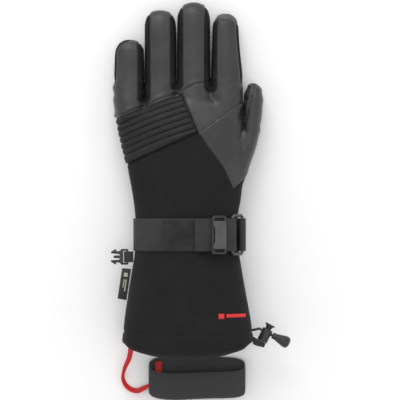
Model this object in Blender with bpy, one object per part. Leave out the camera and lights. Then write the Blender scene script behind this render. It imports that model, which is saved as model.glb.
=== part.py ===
"""Left-hand ski glove with a long gauntlet, lying palm down with the fingers towards +Y.

Every size is in millimetres and MM turns it into metres when a mesh is made. The origin is on the
flat underside of the palm patch, +Z points out of the back of the hand and the thumb is at +X.
"""

import math

import bmesh
import bpy
from mathutils import Matrix, Vector

MM = 0.001
GAP = 0.3

# cloth and leather thicknesses
SHELL = 1.8
MEMBRANE = 0.5
INSULATION = 3.0
LINING = 1.0
FINGER_SHELL = 1.4
FINGER_LINING = 2.8
PATCH = 1.2
WEBBING = 1.5

# hand and gauntlet
LITTLE_WIDTH = 26.6
RING_WIDTH = 28.4
MIDDLE_WIDTH = 29.7
INDEX_WIDTH = 30.4
FINGER_GAP = 0.9
KNUCKLE_LEFT = -65.7
KNUCKLE_HEIGHT = 31.0
PALM_WIDTH = 110.5
PALM_HEIGHT = 38.0
HEEL_WIDTH = 98.5
HEEL_HEIGHT = 44.0
WRIST_WIDTH = 93.0
WRIST_HEIGHT = 47.0
HEM_WIDTH = 116.5
HEM_HEIGHT = 69.0
FINGER_ROOT_Y = 53.0
PALM_Y = 12.0
HEEL_Y = -40.0
WRIST_Y = -61.0
GAUNTLET_LENGTH = 81.0
FINGER_SLANT = 11.0
HEM_SAG = 10.0
HEM_BINDING = 3.0
HAND_SIDES = 24
HAND_POWER = 2.4

# fingers: length beyond the root, distance of the joint from the root, height at root and tip
LITTLE_LENGTH = 55.0
RING_LENGTH = 76.0
MIDDLE_LENGTH = 81.0
INDEX_LENGTH = 70.8
FINGER_HEIGHT = 27.0
FINGER_TIP_HEIGHT = 25.0
FINGER_SIDES = 16
FINGER_POWER = 2.3
FINGER_TAPER = 0.93
INDEX_TIP_WIDTH = 21.5
FINGER_BEND_DEG = 65.0
TOUCH_CAP_LENGTH = 9.5
THUMB_WIDTH = 16.0
THUMB_HEIGHT = 27.0
THUMB_TIP_Y = 60.3
THUMB_JOINT_Y = 9.0
THUMB_SWING_DEG = 35.0

# wrist closure
STRAP_WIDTH = 30.0
TAIL_END_X = 7.2
FASTENER = 0.8
BAR_RADIUS = 1.5
RING_BAR_X = 41.0
RING_PITCH = 11.0
RING_SLOPE_DEG = 40.0
BUCKLE_X = 28.3
BUCKLE_LENGTH = 13.5
BUCKLE_THICKNESS = 2.0
LEVER_LENGTH = 25.0

# glove clip, label
CLIP_BELOW_STRAP = 5.1
CLIP_HALF_HEIGHT = 7.1
CLIP_THICKNESS = 3.4
LABEL_BELOW_CLIP = 10.9
LABEL_LENGTH = 28.0
LABEL_WIDTH = 8.0

# hem drawcord and its lock
CORD = 2.4
CORD_ABOVE_HEM = 9.0
LOCK_OUT = 12.75
LOCK_ABOVE_HEM = 7.3
LOCK_HEIGHT = 28.0
LOCK_TILT_DEG = 63.0
LOCK_RADIUS = 4.7
BUTTON_RADIUS = 3.1
BUTTON_TRAVEL = 3.0

# leash
LEASH_BAND_WIDTH = 24.0
LEASH_BAND_THICKNESS = 1.6
LEASH_BAND_LENGTH = 88.0
LEASH_TAPE = 4.7

BLACK = ((0.02, 0.02, 0.022), 0.75, 0.0)
LEATHER = ((0.045, 0.045, 0.048), 0.5, 0.0)
GREY_CAP = ((0.16, 0.16, 0.165), 0.6, 0.0)
WEB = ((0.05, 0.05, 0.052), 0.8, 0.0)
PLASTIC = ((0.08, 0.08, 0.085), 0.4, 0.0)
GLOSS = ((0.02, 0.02, 0.02), 0.25, 0.0)
FLEECE = ((0.08, 0.08, 0.08), 0.95, 0.0)
WADDING = ((0.7, 0.7, 0.68), 0.95, 0.0)
FILM = ((0.55, 0.57, 0.6), 0.5, 0.0)
RED = ((0.75, 0.03, 0.03), 0.7, 0.0)
STEEL = ((0.6, 0.6, 0.62), 0.3, 1.0)


# ------------------------------------------------------------------------------- mesh helpers

def material(name, look):
    """A Principled material with a colour, a roughness and a metallic value."""
    made = bpy.data.materials.new(name)
    made.use_nodes = True
    shader = made.node_tree.nodes["Principled BSDF"]
    colour, roughness, metallic = look
    shader.inputs["Base Color"].default_value = (*colour, 1)
    shader.inputs["Roughness"].default_value = roughness
    shader.inputs["Metallic"].default_value = metallic
    return made


def add(name, points, faces, look, origin=(0, 0, 0)):
    """One object with a closed mesh; its origin is given in millimetres."""
    start = Vector(origin)
    mesh = bpy.data.meshes.new(name)
    mesh.from_pydata([(Vector(p) - start) * MM for p in points], [], faces)
    work = bmesh.new()
    work.from_mesh(mesh)
    bmesh.ops.recalc_face_normals(work, faces=work.faces)
    work.to_mesh(mesh)
    work.free()
    mesh.materials.append(material(name, look))
    mesh.shade_smooth()
    mesh.set_sharp_from_angle(angle=math.radians(35))
    made = bpy.data.objects.new(name, mesh)
    made.location = start * MM
    bpy.context.collection.objects.link(made)
    return made


def rows_to_faces(rows, columns, first, closed):
    """Triangles of a grid of points, all split the same way, so that thin layers keep their distance."""
    faces = []
    for r in range(rows - 1):
        for c in range(columns if closed else columns - 1):
            d = (c + 1) % columns
            near, far = first + r * columns, first + (r + 1) * columns
            faces.append((near + c, near + d, far + d))
            faces.append((near + c, far + d, far + c))
    return faces


def sleeve(outer, inner, capped=False):
    """Points and faces of a tube with a wall; a capped tube is closed at its last ring."""
    count, last = len(outer[0]), len(outer) - 1
    inside = count * len(outer)
    bottom = count * (len(inner) - 1)
    points = [p for ring in outer + inner for p in ring]
    faces = rows_to_faces(len(outer), count, 0, True) + rows_to_faces(len(inner), count, inside, True)
    for k in range(count):
        n = (k + 1) % count
        faces.append((k, inside + k, inside + n, n))
        if not capped:
            faces.append((last * count + n, inside + bottom + n, inside + bottom + k, last * count + k))
    if capped:
        faces.append(tuple(last * count + k for k in range(count)))
        faces.append(tuple(inside + bottom + k for k in range(count)))
    return points, faces


def solid(rings):
    """Points and faces of a solid through rings of points, flat at both ends."""
    count, last = len(rings[0]), len(rings) - 1
    faces = rows_to_faces(len(rings), count, 0, True)
    faces.append(tuple(range(count)))
    faces.append(tuple(last * count + k for k in range(count)))
    return [p for ring in rings for p in ring], faces


def slab(outer, inner):
    """Points and faces of a curved sheet with a thickness, from two grids of points."""
    rows, columns = len(outer), len(outer[0])
    inside = rows * columns
    points = [p for row in outer + inner for p in row]
    faces = rows_to_faces(rows, columns, 0, False) + rows_to_faces(rows, columns, inside, False)
    rim = [c for c in range(columns)]
    rim += [r * columns + columns - 1 for r in range(1, rows)]
    rim += [(rows - 1) * columns + c for c in range(columns - 2, -1, -1)]
    rim += [r * columns for r in range(rows - 2, 0, -1)]
    for k, a in enumerate(rim):
        b = rim[(k + 1) % len(rim)]
        faces.append((a, b, inside + b, inside + a))
    return points, faces


def prism(outline, low, high, place=Matrix()):
    """Points and faces of a flat outline given a thickness along its own Z."""
    count = len(outline)
    points = [place @ Vector((x, y, z)) for z in (low, high) for x, y in outline]
    faces = [tuple(range(count)), tuple(range(count, 2 * count))]
    faces += [(k, (k + 1) % count, count + (k + 1) % count, count + k) for k in range(count)]
    return points, faces


def cutter(name, points, faces):
    """A hidden solid that a Boolean uses."""
    made = add(name, points, faces, BLACK)
    made.hide_render = True
    made.display_type = "WIRE"
    return made


def cut(target, tool, operation="DIFFERENCE"):
    step = target.modifiers.new(tool.name, "BOOLEAN")
    step.operation = operation
    step.object = tool
    step.solver = "EXACT"


def cylinder(radius, start, stop, place, sides=16):
    """Points and faces of a round bar along its place's Z."""
    circle = [(radius * math.cos(2 * math.pi * k / sides), radius * math.sin(2 * math.pi * k / sides))
              for k in range(sides)]
    return prism(circle, start, stop, place)


def inset_outline(outline, distance):
    """The outline moved inwards along each corner's bisector; it runs counter-clockwise."""
    moved = []
    for k, here in enumerate(outline):
        before = (Vector(here) - Vector(outline[k - 1])).normalized()
        after = (Vector(outline[(k + 1) % len(outline)]) - Vector(here)).normalized()
        inward = Vector((-before.y - after.y, before.x + after.x)).normalized()
        share = inward.dot(Vector((-before.y, before.x)))
        moved.append(tuple(Vector(here) + inward * distance / share))
    return moved


def between(a, b, share):
    return a + (b - a) * share


def smooth(share):
    share = min(max(share, 0.0), 1.0)
    return share * share * (3 - 2 * share)


def squircle(angle, power):
    c, s = math.cos(angle), math.sin(angle)
    return math.copysign(abs(c) ** (2 / power), c), math.copysign(abs(s) ** (2 / power), s)


# -------------------------------------------------------------------- the hand's outer surface

WRIST_END_Y = WRIST_Y - STRAP_WIDTH
HEM_Y = WRIST_END_Y - GAUNTLET_LENGTH
KNUCKLE_WIDTH = LITTLE_WIDTH + RING_WIDTH + MIDDLE_WIDTH + INDEX_WIDTH + 3 * FINGER_GAP
PALM_LOW = PATCH + GAP
HAND_STEP = 2 * math.pi / HAND_SIDES
HAND_ANGLES = [(k + 0.5) * HAND_STEP for k in range(-HAND_SIDES, 2 * HAND_SIDES)]
FLARE_MIDDLE_Y = between(WRIST_END_Y, HEM_Y, 0.45)
CORD_Y = HEM_Y + CORD_ABOVE_HEM
LOCK_AT = Vector((HEM_WIDTH / 2 + LOCK_OUT, HEM_Y + LOCK_ABOVE_HEM, LOCK_HEIGHT))

# y, middle x, width, underside z, height
STATIONS = [
    (FINGER_ROOT_Y, KNUCKLE_LEFT + KNUCKLE_WIDTH / 2, KNUCKLE_WIDTH, PALM_LOW + 0.3, KNUCKLE_HEIGHT),
    (PALM_Y, -4.7, PALM_WIDTH, PALM_LOW, PALM_HEIGHT),
    (-14.0, -1.7, between(PALM_WIDTH, HEEL_WIDTH, 0.5), PALM_LOW, between(PALM_HEIGHT, HEEL_HEIGHT, 0.6)),
    (HEEL_Y, 0.2, HEEL_WIDTH, PALM_LOW, HEEL_HEIGHT),
    (WRIST_Y, 0.0, WRIST_WIDTH, PALM_LOW + 0.5, WRIST_HEIGHT),
    (WRIST_END_Y, 0.0, WRIST_WIDTH, PALM_LOW + 0.5, WRIST_HEIGHT),
    (FLARE_MIDDLE_Y, 0.0, between(WRIST_WIDTH, HEM_WIDTH, 0.5), 1.0, between(WRIST_HEIGHT, HEM_HEIGHT, 0.5)),
    (HEM_Y, 0.8, HEM_WIDTH, 0.0, HEM_HEIGHT),
]


def section(y):
    """Middle x, width, underside and height of the hand's cross-section at y."""
    for upper, lower in zip(STATIONS, STATIONS[1:]):
        if y >= lower[0] or lower is STATIONS[-1]:
            share = min((upper[0] - y) / (upper[0] - lower[0]), 1.0)
            return [between(a, b, share) for a, b in zip(upper[1:], lower[1:])]
    return list(STATIONS[-1][1:])


def warp(x, y):
    """How far a cross-section's points lean along Y: slanted finger roots and a sagging hem."""
    front = min(max((y - PALM_Y) / (FINGER_ROOT_Y - PALM_Y), 0.0), 1.0)
    slant = FINGER_SLANT * front * (smooth((x - KNUCKLE_LEFT) / (LITTLE_WIDTH + 12)) - 1)
    back = min(max((WRIST_END_Y - y) / (WRIST_END_Y - HEM_Y), 0.0), 1.2)
    return slant - HEM_SAG * back * (1 - (2 * x / HEM_WIDTH) ** 2)


def hand_point(angle, y, inset):
    """A point of the hand's surface, or of a layer that lies inset millimetres inside it."""
    middle, width, low, height = section(y)
    c, s = squircle(angle, HAND_POWER)
    flat = math.cos(HAND_STEP / 2) ** (2 / HAND_POWER)
    z = low + height / 2 + (height / 2 - inset) * s / flat
    return Vector((middle + (width / 2 - inset) * c, y + warp(middle + width / 2 * c, y), z))


def angle_at(x, y, inset):
    """The angle on the back of the hand whose point has this x."""
    middle, width, _, _ = section(y)
    c = (x - middle) / (width / 2 - inset)
    return math.acos(math.copysign(min(abs(c), 1.0) ** (HAND_POWER / 2), c))


def heights(low, high):
    """The stations' y values that lie between two limits, with the limits."""
    return [high] + [s[0] for s in STATIONS if low + 1 < s[0] < high - 1] + [low]


def hand_panel(name, look, low, high, start, stop, insets):
    """A curved panel of the hand between two y values and two angles."""
    angles = [start] + [a for a in HAND_ANGLES if start + 0.03 < a < stop - 0.03] + [stop]
    grids = [[[hand_point(a, y, inset) for a in angles] for y in heights(low, high)] for inset in insets]
    return add(name, *slab(*grids), look)


def hand_sleeve(name, look, low, high, insets):
    """A layer that runs all around the hand."""
    rings = [[[hand_point(a, y, inset) for a in HAND_ANGLES[:HAND_SIDES]] for y in heights(low, high)]
             for inset in insets]
    return add(name, *sleeve(*rings), look)


for old in list(bpy.data.objects):
    bpy.data.objects.remove(old)


# ------------------------------------------------------------------ shell panels of the hand

SEAM = 0.006
MEMBRANE_IN = SHELL + GAP
INSULATION_IN = MEMBRANE_IN + MEMBRANE + GAP
LINING_IN = INSULATION_IN + INSULATION + GAP
CAVITY_IN = LINING_IN + LINING
SHELL_INSETS = (0.0, SHELL)
WRIST_SEAM_Y = WRIST_Y - STRAP_WIDTH / 2
HIGH = 120.0
FAR = 90.0

PAD_TOP = [(-60.3, 29.4), (-4.7, 50.4)]
PAD_BOTTOM = [(-53.5, -12.6), (9.9, 15.3)]
DIAGONAL = [(21.6, -0.5), (33.3, -16.2), (42.3, -34.9), (54.0, -24.3)]
FRONT = 75.0

PANELS = {
    "finger_back_panel": (LEATHER, [(-FAR, 26.0), PAD_TOP[0], PAD_TOP[1], (-4.7, FRONT), (-FAR, FRONT)]),
    "knuckle_pad": (BLACK, [(-FAR, -20.0), PAD_BOTTOM[0], PAD_BOTTOM[1], PAD_TOP[1], PAD_TOP[0], (-FAR, 26.0)]),
    "index_back_panel": (LEATHER, [PAD_TOP[1], PAD_BOTTOM[1], *DIAGONAL, (FAR, -20.0), (FAR, FRONT),
                                   (-4.7, FRONT)]),
    "hand_back_softshell": (BLACK, [(-FAR, WRIST_SEAM_Y), (FAR, WRIST_SEAM_Y), (FAR, -20.0), *DIAGONAL[::-1],
                                    PAD_BOTTOM[1], PAD_BOTTOM[0], (-FAR, -20.0)]),
}

for name, (look, outline) in PANELS.items():
    panel = hand_panel(name, look, WRIST_SEAM_Y, FINGER_ROOT_Y, SEAM, math.pi - SEAM, SHELL_INSETS)
    shape = cutter("cut_" + name, *prism(inset_outline(outline, GAP / 2), 10.0, HIGH))
    cut(panel, shape, "INTERSECT")

palm = hand_panel("palm_leather", LEATHER, WRIST_SEAM_Y, FINGER_ROOT_Y, -math.pi + SEAM, -SEAM, SHELL_INSETS)
hand_panel("gauntlet_back", BLACK, HEM_Y, WRIST_SEAM_Y - GAP, SEAM, math.pi - SEAM, SHELL_INSETS)
gauntlet_palm = hand_panel("gauntlet_palm", BLACK, HEM_Y, WRIST_SEAM_Y - GAP, -math.pi + SEAM, -SEAM,
                           SHELL_INSETS)
palm_middle = -math.pi / 2
PATCH_SPREAD = 2.5 * HAND_STEP
hand_panel("palm_patch", LEATHER, -34.0, 34.0, palm_middle - PATCH_SPREAD, palm_middle + PATCH_SPREAD,
           (-GAP - PATCH, -GAP))

membrane = hand_sleeve("hand_membrane", FILM, WRIST_END_Y - 10, FINGER_ROOT_Y,
                       (MEMBRANE_IN, MEMBRANE_IN + MEMBRANE))
insulation = hand_sleeve("hand_insulation", WADDING, WRIST_END_Y - 10, FINGER_ROOT_Y,
                         (INSULATION_IN, INSULATION_IN + INSULATION))
lining = hand_sleeve("hand_lining", FLEECE, WRIST_END_Y - 10, FINGER_ROOT_Y, (LINING_IN, CAVITY_IN))
hand_sleeve("gauntlet_lining", FLEECE, HEM_Y, WRIST_END_Y - 10 - GAP, (LINING_IN, CAVITY_IN))
hand_sleeve("hem_binding", BLACK, HEM_Y - HEM_BINDING, HEM_Y - GAP, (0.0, CAVITY_IN))


# ------------------------------------------------------------------------------- fingers

def finger_ring(station, inset, sides, power, lean=None):
    """A ring around a finger at a station (y, middle x, width, underside, height)."""
    y, middle, width, low, height = station
    ring = []
    for k in range(sides):
        c, s = squircle(2 * math.pi * (k + 0.5) / sides, power)
        x = middle + max(width / 2 - inset, 0.6) * c
        z = low + height / 2 + max(height / 2 - inset, 0.6) * s
        ring.append(Vector((x, y + (lean(x, z) if lean else 0.0), z)))
    return ring


def rounded_tip(station, tip_y):
    """Stations of a dome from a finger's last full station to its tip."""
    y, middle, width, low, height = station
    radius = tip_y - y
    stations = []
    for degrees in (30, 52, 70, 82):
        share = math.cos(math.radians(degrees))
        stations.append((y + radius * math.sin(math.radians(degrees)), middle, width * share,
                         low + height * (1 - share) / 2, height * share))
    return stations


def tube(name, look, stations, insets, origin=(0, 0, 0), tip=None, leans=(None, None), start_gap=0.0):
    """A finger sleeve through its stations; with a tip it ends in a dome of the same wall."""
    grids = []
    for inset in insets:
        rows = []
        for k, station in enumerate(stations):
            lean = leans[0] if k == 0 else leans[1] if k == len(stations) - 1 and tip is None else None
            shifted = (station[0] + (start_gap if k == 0 else 0.0), *station[1:])
            rows.append(finger_ring(shifted, inset, FINGER_SIDES, FINGER_POWER, lean))
        if tip is not None:
            full = stations[-1]
            dome_inset = inset - insets[0]
            rows += [finger_ring(s, inset * math.cos(math.radians(d)), FINGER_SIDES, FINGER_POWER)
                     for s, d in zip(rounded_tip(full, tip - inset), (30, 52, 70, 82))]
        grids.append(rows)
    return add(name, *sleeve(*grids, capped=tip is not None), look, origin)


HINGE_Z = 11.5
HALF_NOTCH = math.tan(math.radians(FINGER_BEND_DEG / 2 + 2))


def notch_back(x, z):
    return -max(HINGE_Z - z, 0.0) * HALF_NOTCH


def notch_ahead(x, z):
    return max(HINGE_Z - z, 0.0) * HALF_NOTCH


def root_lean(x, z):
    return warp(x, FINGER_ROOT_Y)


ROOT_LOW = 2.0
TIP_LOW = 1.6
SHELL_WALL = (0.0, FINGER_SHELL)
LINING_WALL = (FINGER_SHELL + GAP, FINGER_SHELL + GAP + FINGER_LINING)
left = KNUCKLE_LEFT
FINGERS = [
    ("little", LITTLE_WIDTH, LITTLE_WIDTH * FINGER_TAPER, LITTLE_LENGTH, 17.0),
    ("ring", RING_WIDTH, RING_WIDTH * FINGER_TAPER, RING_LENGTH, 22.0),
    ("middle", MIDDLE_WIDTH, MIDDLE_WIDTH * FINGER_TAPER, MIDDLE_LENGTH, 25.0),
    ("index", INDEX_WIDTH, INDEX_TIP_WIDTH, INDEX_LENGTH, 22.0),
]

for name, width, tip_width, length, joint in FINGERS:
    middle = left + width / 2
    left += width + FINGER_GAP
    root = FINGER_ROOT_Y + warp(middle, FINGER_ROOT_Y)
    tip_y = root + length if name == "little" else FINGER_ROOT_Y + length
    joint_y = root + joint
    full_y = tip_y - tip_width * 0.55
    tip_middle = middle - (1.8 if name == "index" else 0.0)
    joint_width = between(width, tip_width, 0.3)
    at_root = (FINGER_ROOT_Y, middle, width, ROOT_LOW, FINGER_HEIGHT)
    at_joint = (joint_y, middle, joint_width, ROOT_LOW, FINGER_HEIGHT - 0.6)
    at_full = (full_y, tip_middle, tip_width, TIP_LOW, FINGER_TIP_HEIGHT)
    near = tuple(between(a, b, 0.45) for a, b in zip(at_root, at_joint))
    near = (root + joint * 0.35, *near[1:])
    past = tuple(between(a, b, 0.5) for a, b in zip(at_joint, at_full))
    pivot = (middle, joint_y, HINGE_Z)
    for part, wall, look in (("shell", SHELL_WALL, LEATHER), ("lining", LINING_WALL, FLEECE)):
        tube(f"{name}_{part}_base", look, [at_root, near, (joint_y - GAP / 2, *at_joint[1:])], wall,
             leans=(root_lean, notch_back), start_gap=GAP)
        beyond = [(joint_y + GAP / 2, *at_joint[1:]), past, at_full]
        if name == "index" and part == "shell":
            cap_y = tip_y - TOUCH_CAP_LENGTH
            short = (cap_y - 1.5, *at_full[1:])
            tube("index_shell_tip", look, beyond[:2] + [short], wall, pivot, leans=(notch_ahead, None))
            tube("index_touch_cap", GREY_CAP, [(short[0] + GAP, *short[1:])], wall, pivot, tip=tip_y)
        else:
            tip_here = tip_y - (wall[0] if part == "lining" else 0.0)
            tube(f"{name}_{part}_tip", look, beyond, wall, pivot, tip=tip_y,
                 leans=(notch_ahead, None))

# thumb: its base grows out of the side of the hand, its outer part swings about an upright axis
hand_right = max(KNUCKLE_LEFT + KNUCKLE_WIDTH, *(s[1] + s[2] / 2 for s in STATIONS[:3]))
thumb_left = hand_right + GAP
THUMB_LOW = 1.4
THUMB_ROOT_WIDTH = 20.0
THUMB_PIVOT = (thumb_left + 2.5, THUMB_JOINT_Y, THUMB_LOW + THUMB_HEIGHT / 2)
HALF_SWING = math.tan(math.radians(THUMB_SWING_DEG / 2 + 1.5))


def thumb_station(y, middle, width=THUMB_WIDTH, lift=0.0):
    return (y, middle, width, THUMB_LOW + lift, THUMB_HEIGHT - lift)


def swing_back(x, z):
    return -max(x - THUMB_PIVOT[0], 0.0) * HALF_SWING


def swing_ahead(x, z):
    return max(x - THUMB_PIVOT[0], 0.0) * HALF_SWING


thumb_root = [thumb_station(-32.0, thumb_left - 14.4, THUMB_ROOT_WIDTH - 2, 6.0),
              thumb_station(-18.0, thumb_left - 7.9, THUMB_ROOT_WIDTH, 4.0),
              thumb_station(-4.0, thumb_left - 1.4, THUMB_ROOT_WIDTH, 1.0)]
thumb_knuckle = thumb_station(THUMB_JOINT_Y, thumb_left - 0.2 + THUMB_WIDTH / 2)
thumb_out = [thumb_station(THUMB_JOINT_Y + GAP / 2, thumb_knuckle[1]),
             thumb_station(30.0, thumb_left + 0.5 + THUMB_WIDTH / 2),
             thumb_station(THUMB_TIP_Y - 9.5, thumb_left + 0.9 + THUMB_WIDTH / 2, THUMB_WIDTH * 0.96)]
side_angles = sorted(HAND_ANGLES[:HAND_SIDES] + [-math.pi, 0.0])
hand_solid = cutter("cut_hand", *solid(
    [[hand_point(a, y, -GAP) for a in side_angles] for y in heights(-70.0, FINGER_ROOT_Y + 5)]))
thumb_bore = cutter("cut_thumb_bore", *solid(
    [finger_ring(s, LINING_WALL[1] + 0.4, FINGER_SIDES, FINGER_POWER) for s in thumb_root]))
for part, wall, look in (("shell", SHELL_WALL, LEATHER), ("lining", LINING_WALL, FLEECE)):
    base = tube(f"thumb_{part}_base", look, thumb_root + [(THUMB_JOINT_Y - GAP / 2, *thumb_knuckle[1:])], wall,
                leans=(None, swing_back))
    cut(base, hand_solid)
    tube(f"thumb_{part}_tip", look, thumb_out, wall, THUMB_PIVOT, tip=THUMB_TIP_Y, leans=(swing_ahead, None))
for piece in (palm, bpy.data.objects["index_back_panel"], membrane, insulation, lining):
    cut(piece, thumb_bore)


# --------------------------------------------------------------------------- wrist closure

def ribbon(name, look, path, thickness, low, high, origin=(0, 0, 0)):
    """Webbing that runs along Y between two values and follows a path of (x, z) points."""
    sides = []
    for side in (0.5, -0.5):
        row = []
        for k, (x, z) in enumerate(path):
            before, after = path[max(k - 1, 0)], path[min(k + 1, len(path) - 1)]
            along = Vector((after[0] - before[0], after[1] - before[1])).normalized()
            row.append((x - along.y * side * thickness, z + along.x * side * thickness))
        sides.append([[Vector((x, y, z)) for x, z in row] for y in (low, high)])
    return add(name, *slab(*sides), look, origin)


def arc(middle, radius, start, stop, step=30):
    """Points of (x, z) around a middle; the angles are in degrees."""
    count = max(2, round(abs(stop - start) / step))
    angles = [math.radians(between(start, stop, k / count)) for k in range(count + 1)]
    return [(middle[0] + radius * math.cos(a), middle[1] + radius * math.sin(a)) for a in angles]


def over_back(x, lift):
    """The (x, z) of a point above the wrist, lift millimetres out of the shell."""
    point = hand_point(angle_at(x, WRIST_SEAM_Y, -lift), WRIST_SEAM_Y, -lift)
    return point.x, point.z


STRAP_LOW = WRIST_END_Y + 0.4
STRAP_HIGH = WRIST_Y - 0.4
STRAP_OUT = GAP + WEBBING
LOOP_OUT = STRAP_OUT + GAP + FASTENER
HOOK_OUT = LOOP_OUT + GAP + FASTENER
TAIL_OUT = HOOK_OUT + GAP + WEBBING
SLEEVE_RADIUS = BAR_RADIUS + GAP + WEBBING / 2
BAR_LIFT = BAR_RADIUS + WEBBING + 2 * GAP + 0.6
bar = over_back(RING_BAR_X, BAR_LIFT)
slope = math.radians(RING_SLOPE_DEG)
far_bar = (bar[0] + RING_PITCH * math.cos(slope), bar[1] - RING_PITCH * math.sin(slope))


def strap_panel(name, look, near_x, far_x, inner, outer, margin=0.0):
    """A layer of the closure that follows the back of the wrist between two x values."""
    start = angle_at(far_x, WRIST_SEAM_Y, -outer)
    stop = math.pi - SEAM if near_x is None else angle_at(near_x, WRIST_SEAM_Y, -outer)
    return hand_panel(name, look, STRAP_LOW + margin, STRAP_HIGH - margin, start, stop, (-outer, -inner))


strap_end = RING_BAR_X - SLEEVE_RADIUS - WEBBING / 2 - 1.2
strap_panel("wrist_strap", WEB, None, strap_end, GAP, STRAP_OUT)
strap_panel("loop_patch", FLEECE, -22.0, strap_end - 3, STRAP_OUT + GAP, LOOP_OUT, 1.5)
strap_panel("hook_patch", FLEECE, TAIL_END_X + 2, strap_end - 3, LOOP_OUT + GAP, HOOK_OUT, 1.5)

flat_tail = [over_back(x, HOOK_OUT + GAP + WEBBING / 2) for x in (TAIL_END_X, 14, 21, 28, 33)]
tail_path = flat_tail + arc(bar, SLEEVE_RADIUS, 78, -150)
ribbon("strap_tail", WEB, tail_path, WEBBING, STRAP_LOW, STRAP_HIGH, (bar[0], WRIST_SEAM_Y, bar[1]))

tab_path = arc(far_bar, SLEEVE_RADIUS, 170, -60)
tab_side = [hand_point(a, WRIST_SEAM_Y, -GAP - WEBBING / 2) for a in (0.12, -0.1, -0.35)]
ribbon("ring_tab", WEB, tab_path + [(far_bar[0] + 0.6, far_bar[1] - 7.0)] + [(p.x, p.z) for p in tab_side],
       WEBBING, STRAP_LOW, STRAP_HIGH)


def swept_loop(path, radius, sides, normal):
    """Points and faces of a round bar along a closed path that lies in one plane."""
    rings = []
    for k, here in enumerate(path):
        along = (path[(k + 1) % len(path)] - path[k - 1]).normalized()
        out = along.cross(normal).normalized()
        rings.append([here + (out * math.cos(a) + normal * math.sin(a)) * radius
                      for a in (2 * math.pi * (n + 0.5) / sides for n in range(sides))])
    faces = []
    for r in range(len(path)):
        for c in range(sides):
            d, n = (c + 1) % sides, (r + 1) % len(path)
            faces.append((r * sides + c, r * sides + d, n * sides + d, n * sides + c))
    return [p for ring in rings for p in ring], faces


ring_span = STRAP_WIDTH / 2 + 0.6 + BAR_RADIUS
ring_middle_y = WRIST_SEAM_Y
down_slope = Vector((math.cos(slope), 0, -math.sin(slope)))
ring_normal = Vector((math.sin(slope), 0, math.cos(slope)))
corner = 1.2
ring_path = []
for x_share, y_side in ((0, -1), (1, -1), (1, 1), (0, 1)):
    at = Vector((bar[0], ring_middle_y, bar[1])) + down_slope * RING_PITCH * x_share
    at += Vector((0, 1, 0)) * ring_span * y_side
    inward_x = down_slope * corner * (1 if x_share == 0 else -1)
    inward_y = Vector((0, -y_side * corner, 0))
    pair = [at + inward_y, at + inward_x]
    ring_path += pair if (x_share == 0) == (y_side < 0) else pair[::-1]
add("strap_ring", *swept_loop(ring_path, BAR_RADIUS, 8, ring_normal), PLASTIC,
    (far_bar[0], ring_middle_y, far_bar[1]))

# slider buckle on the tail: a frame with its lever hinged at the end nearer the ring
buckle_at = over_back(BUCKLE_X, TAIL_OUT + 1.1)
buckle_ahead = over_back(BUCKLE_X + 4, TAIL_OUT + 1.1)
tilt = math.atan2(buckle_at[1] - buckle_ahead[1], buckle_ahead[0] - buckle_at[0])
buckle_place = (Matrix.Translation((buckle_at[0], WRIST_SEAM_Y, buckle_at[1]))
                @ Matrix.Rotation(tilt, 4, "Y"))
half_x, half_y = BUCKLE_LENGTH / 2, STRAP_WIDTH / 2 + 2.2
RAIL = 2.2


def rectangle(x, y, cut_off=0.0):
    """A rectangle's corners with a small chamfer, counter-clockwise."""
    c = cut_off
    return [(x - c, -y), (x, -y + c), (x, y - c), (x - c, y), (-x + c, y), (-x, y - c), (-x, -y + c), (-x + c, -y)]


def window_frame(outer, inner, low, high, place):
    """Points and faces of a flat frame with a window."""
    rings = [[[place @ Vector((x, y, z)) for x, y in outline] for z in (low, high)] for outline in (outer, inner)]
    return sleeve(*rings)


add("buckle_frame", *window_frame(rectangle(half_x, half_y, 1.5), rectangle(half_x - RAIL, half_y - RAIL, 0.8),
                                  0.0, BUCKLE_THICKNESS, buckle_place), PLASTIC, (bar[0], WRIST_SEAM_Y, bar[1]))
lever_half = LEVER_LENGTH / 2
lever_outline = [(4.9, -lever_half), (5.8, -lever_half + 1), (5.8, lever_half - 1), (4.9, lever_half),
                 (-5.4, lever_half), (-6.4, lever_half - 1.5), (-4.4, 5.0), (-4.4, -5.0),
                 (-6.4, -lever_half + 1.5), (-5.4, -lever_half)]
lever_low = BUCKLE_THICKNESS + GAP
lever_pivot = buckle_place @ Vector((5.1, 0, lever_low + BUCKLE_THICKNESS / 2))
add("buckle_lever", *prism(lever_outline, lever_low, lever_low + BUCKLE_THICKNESS, buckle_place), PLASTIC,
    lever_pivot)


# ----------------------------------------------------------------- glove clip and side label

def side_x(y, angle=math.pi):
    return hand_point(angle, y, 0.0).x


CLIP_Y = WRIST_END_Y - CLIP_BELOW_STRAP
LABEL_TOP_Y = CLIP_Y - LABEL_BELOW_CLIP
clip_z = section(CLIP_Y)[2] + section(CLIP_Y)[3] / 2
clip_edge = side_x(CLIP_Y) - 5.4
CLIP_BAR = 1.6
CLIP_SLOT = 3.0
TAB_THICKNESS = 1.0
h = CLIP_HALF_HEIGHT
half_clip = [(0.0, h - 0.8), (-0.8, h), (-6.4, h), (-7.4, h - 1.6), (-10.4, h - 2.2), (-11.6, h - 0.1),
             (-15.6, h - 2.6), (-15.6, h - 4.0), (-8.2, h - 4.6), (-7.6, 1.4), (-12.8, 1.1), (-13.6, 0.0)]
clip_outline = half_clip + [(x, -y) for x, y in half_clip[-2::-1]]
clip_place = Matrix.Translation((clip_edge, CLIP_Y, clip_z))
clip_pivot = Vector((clip_edge - CLIP_BAR / 2, CLIP_Y, clip_z))
clip = add("glove_clip", *prism(clip_outline, -CLIP_THICKNESS / 2, CLIP_THICKNESS / 2, clip_place), PLASTIC,
           clip_pivot)
slot_outline = [(x - CLIP_BAR - CLIP_SLOT / 2, y) for x, y in rectangle(CLIP_SLOT / 2, h - 1.9)]
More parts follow.
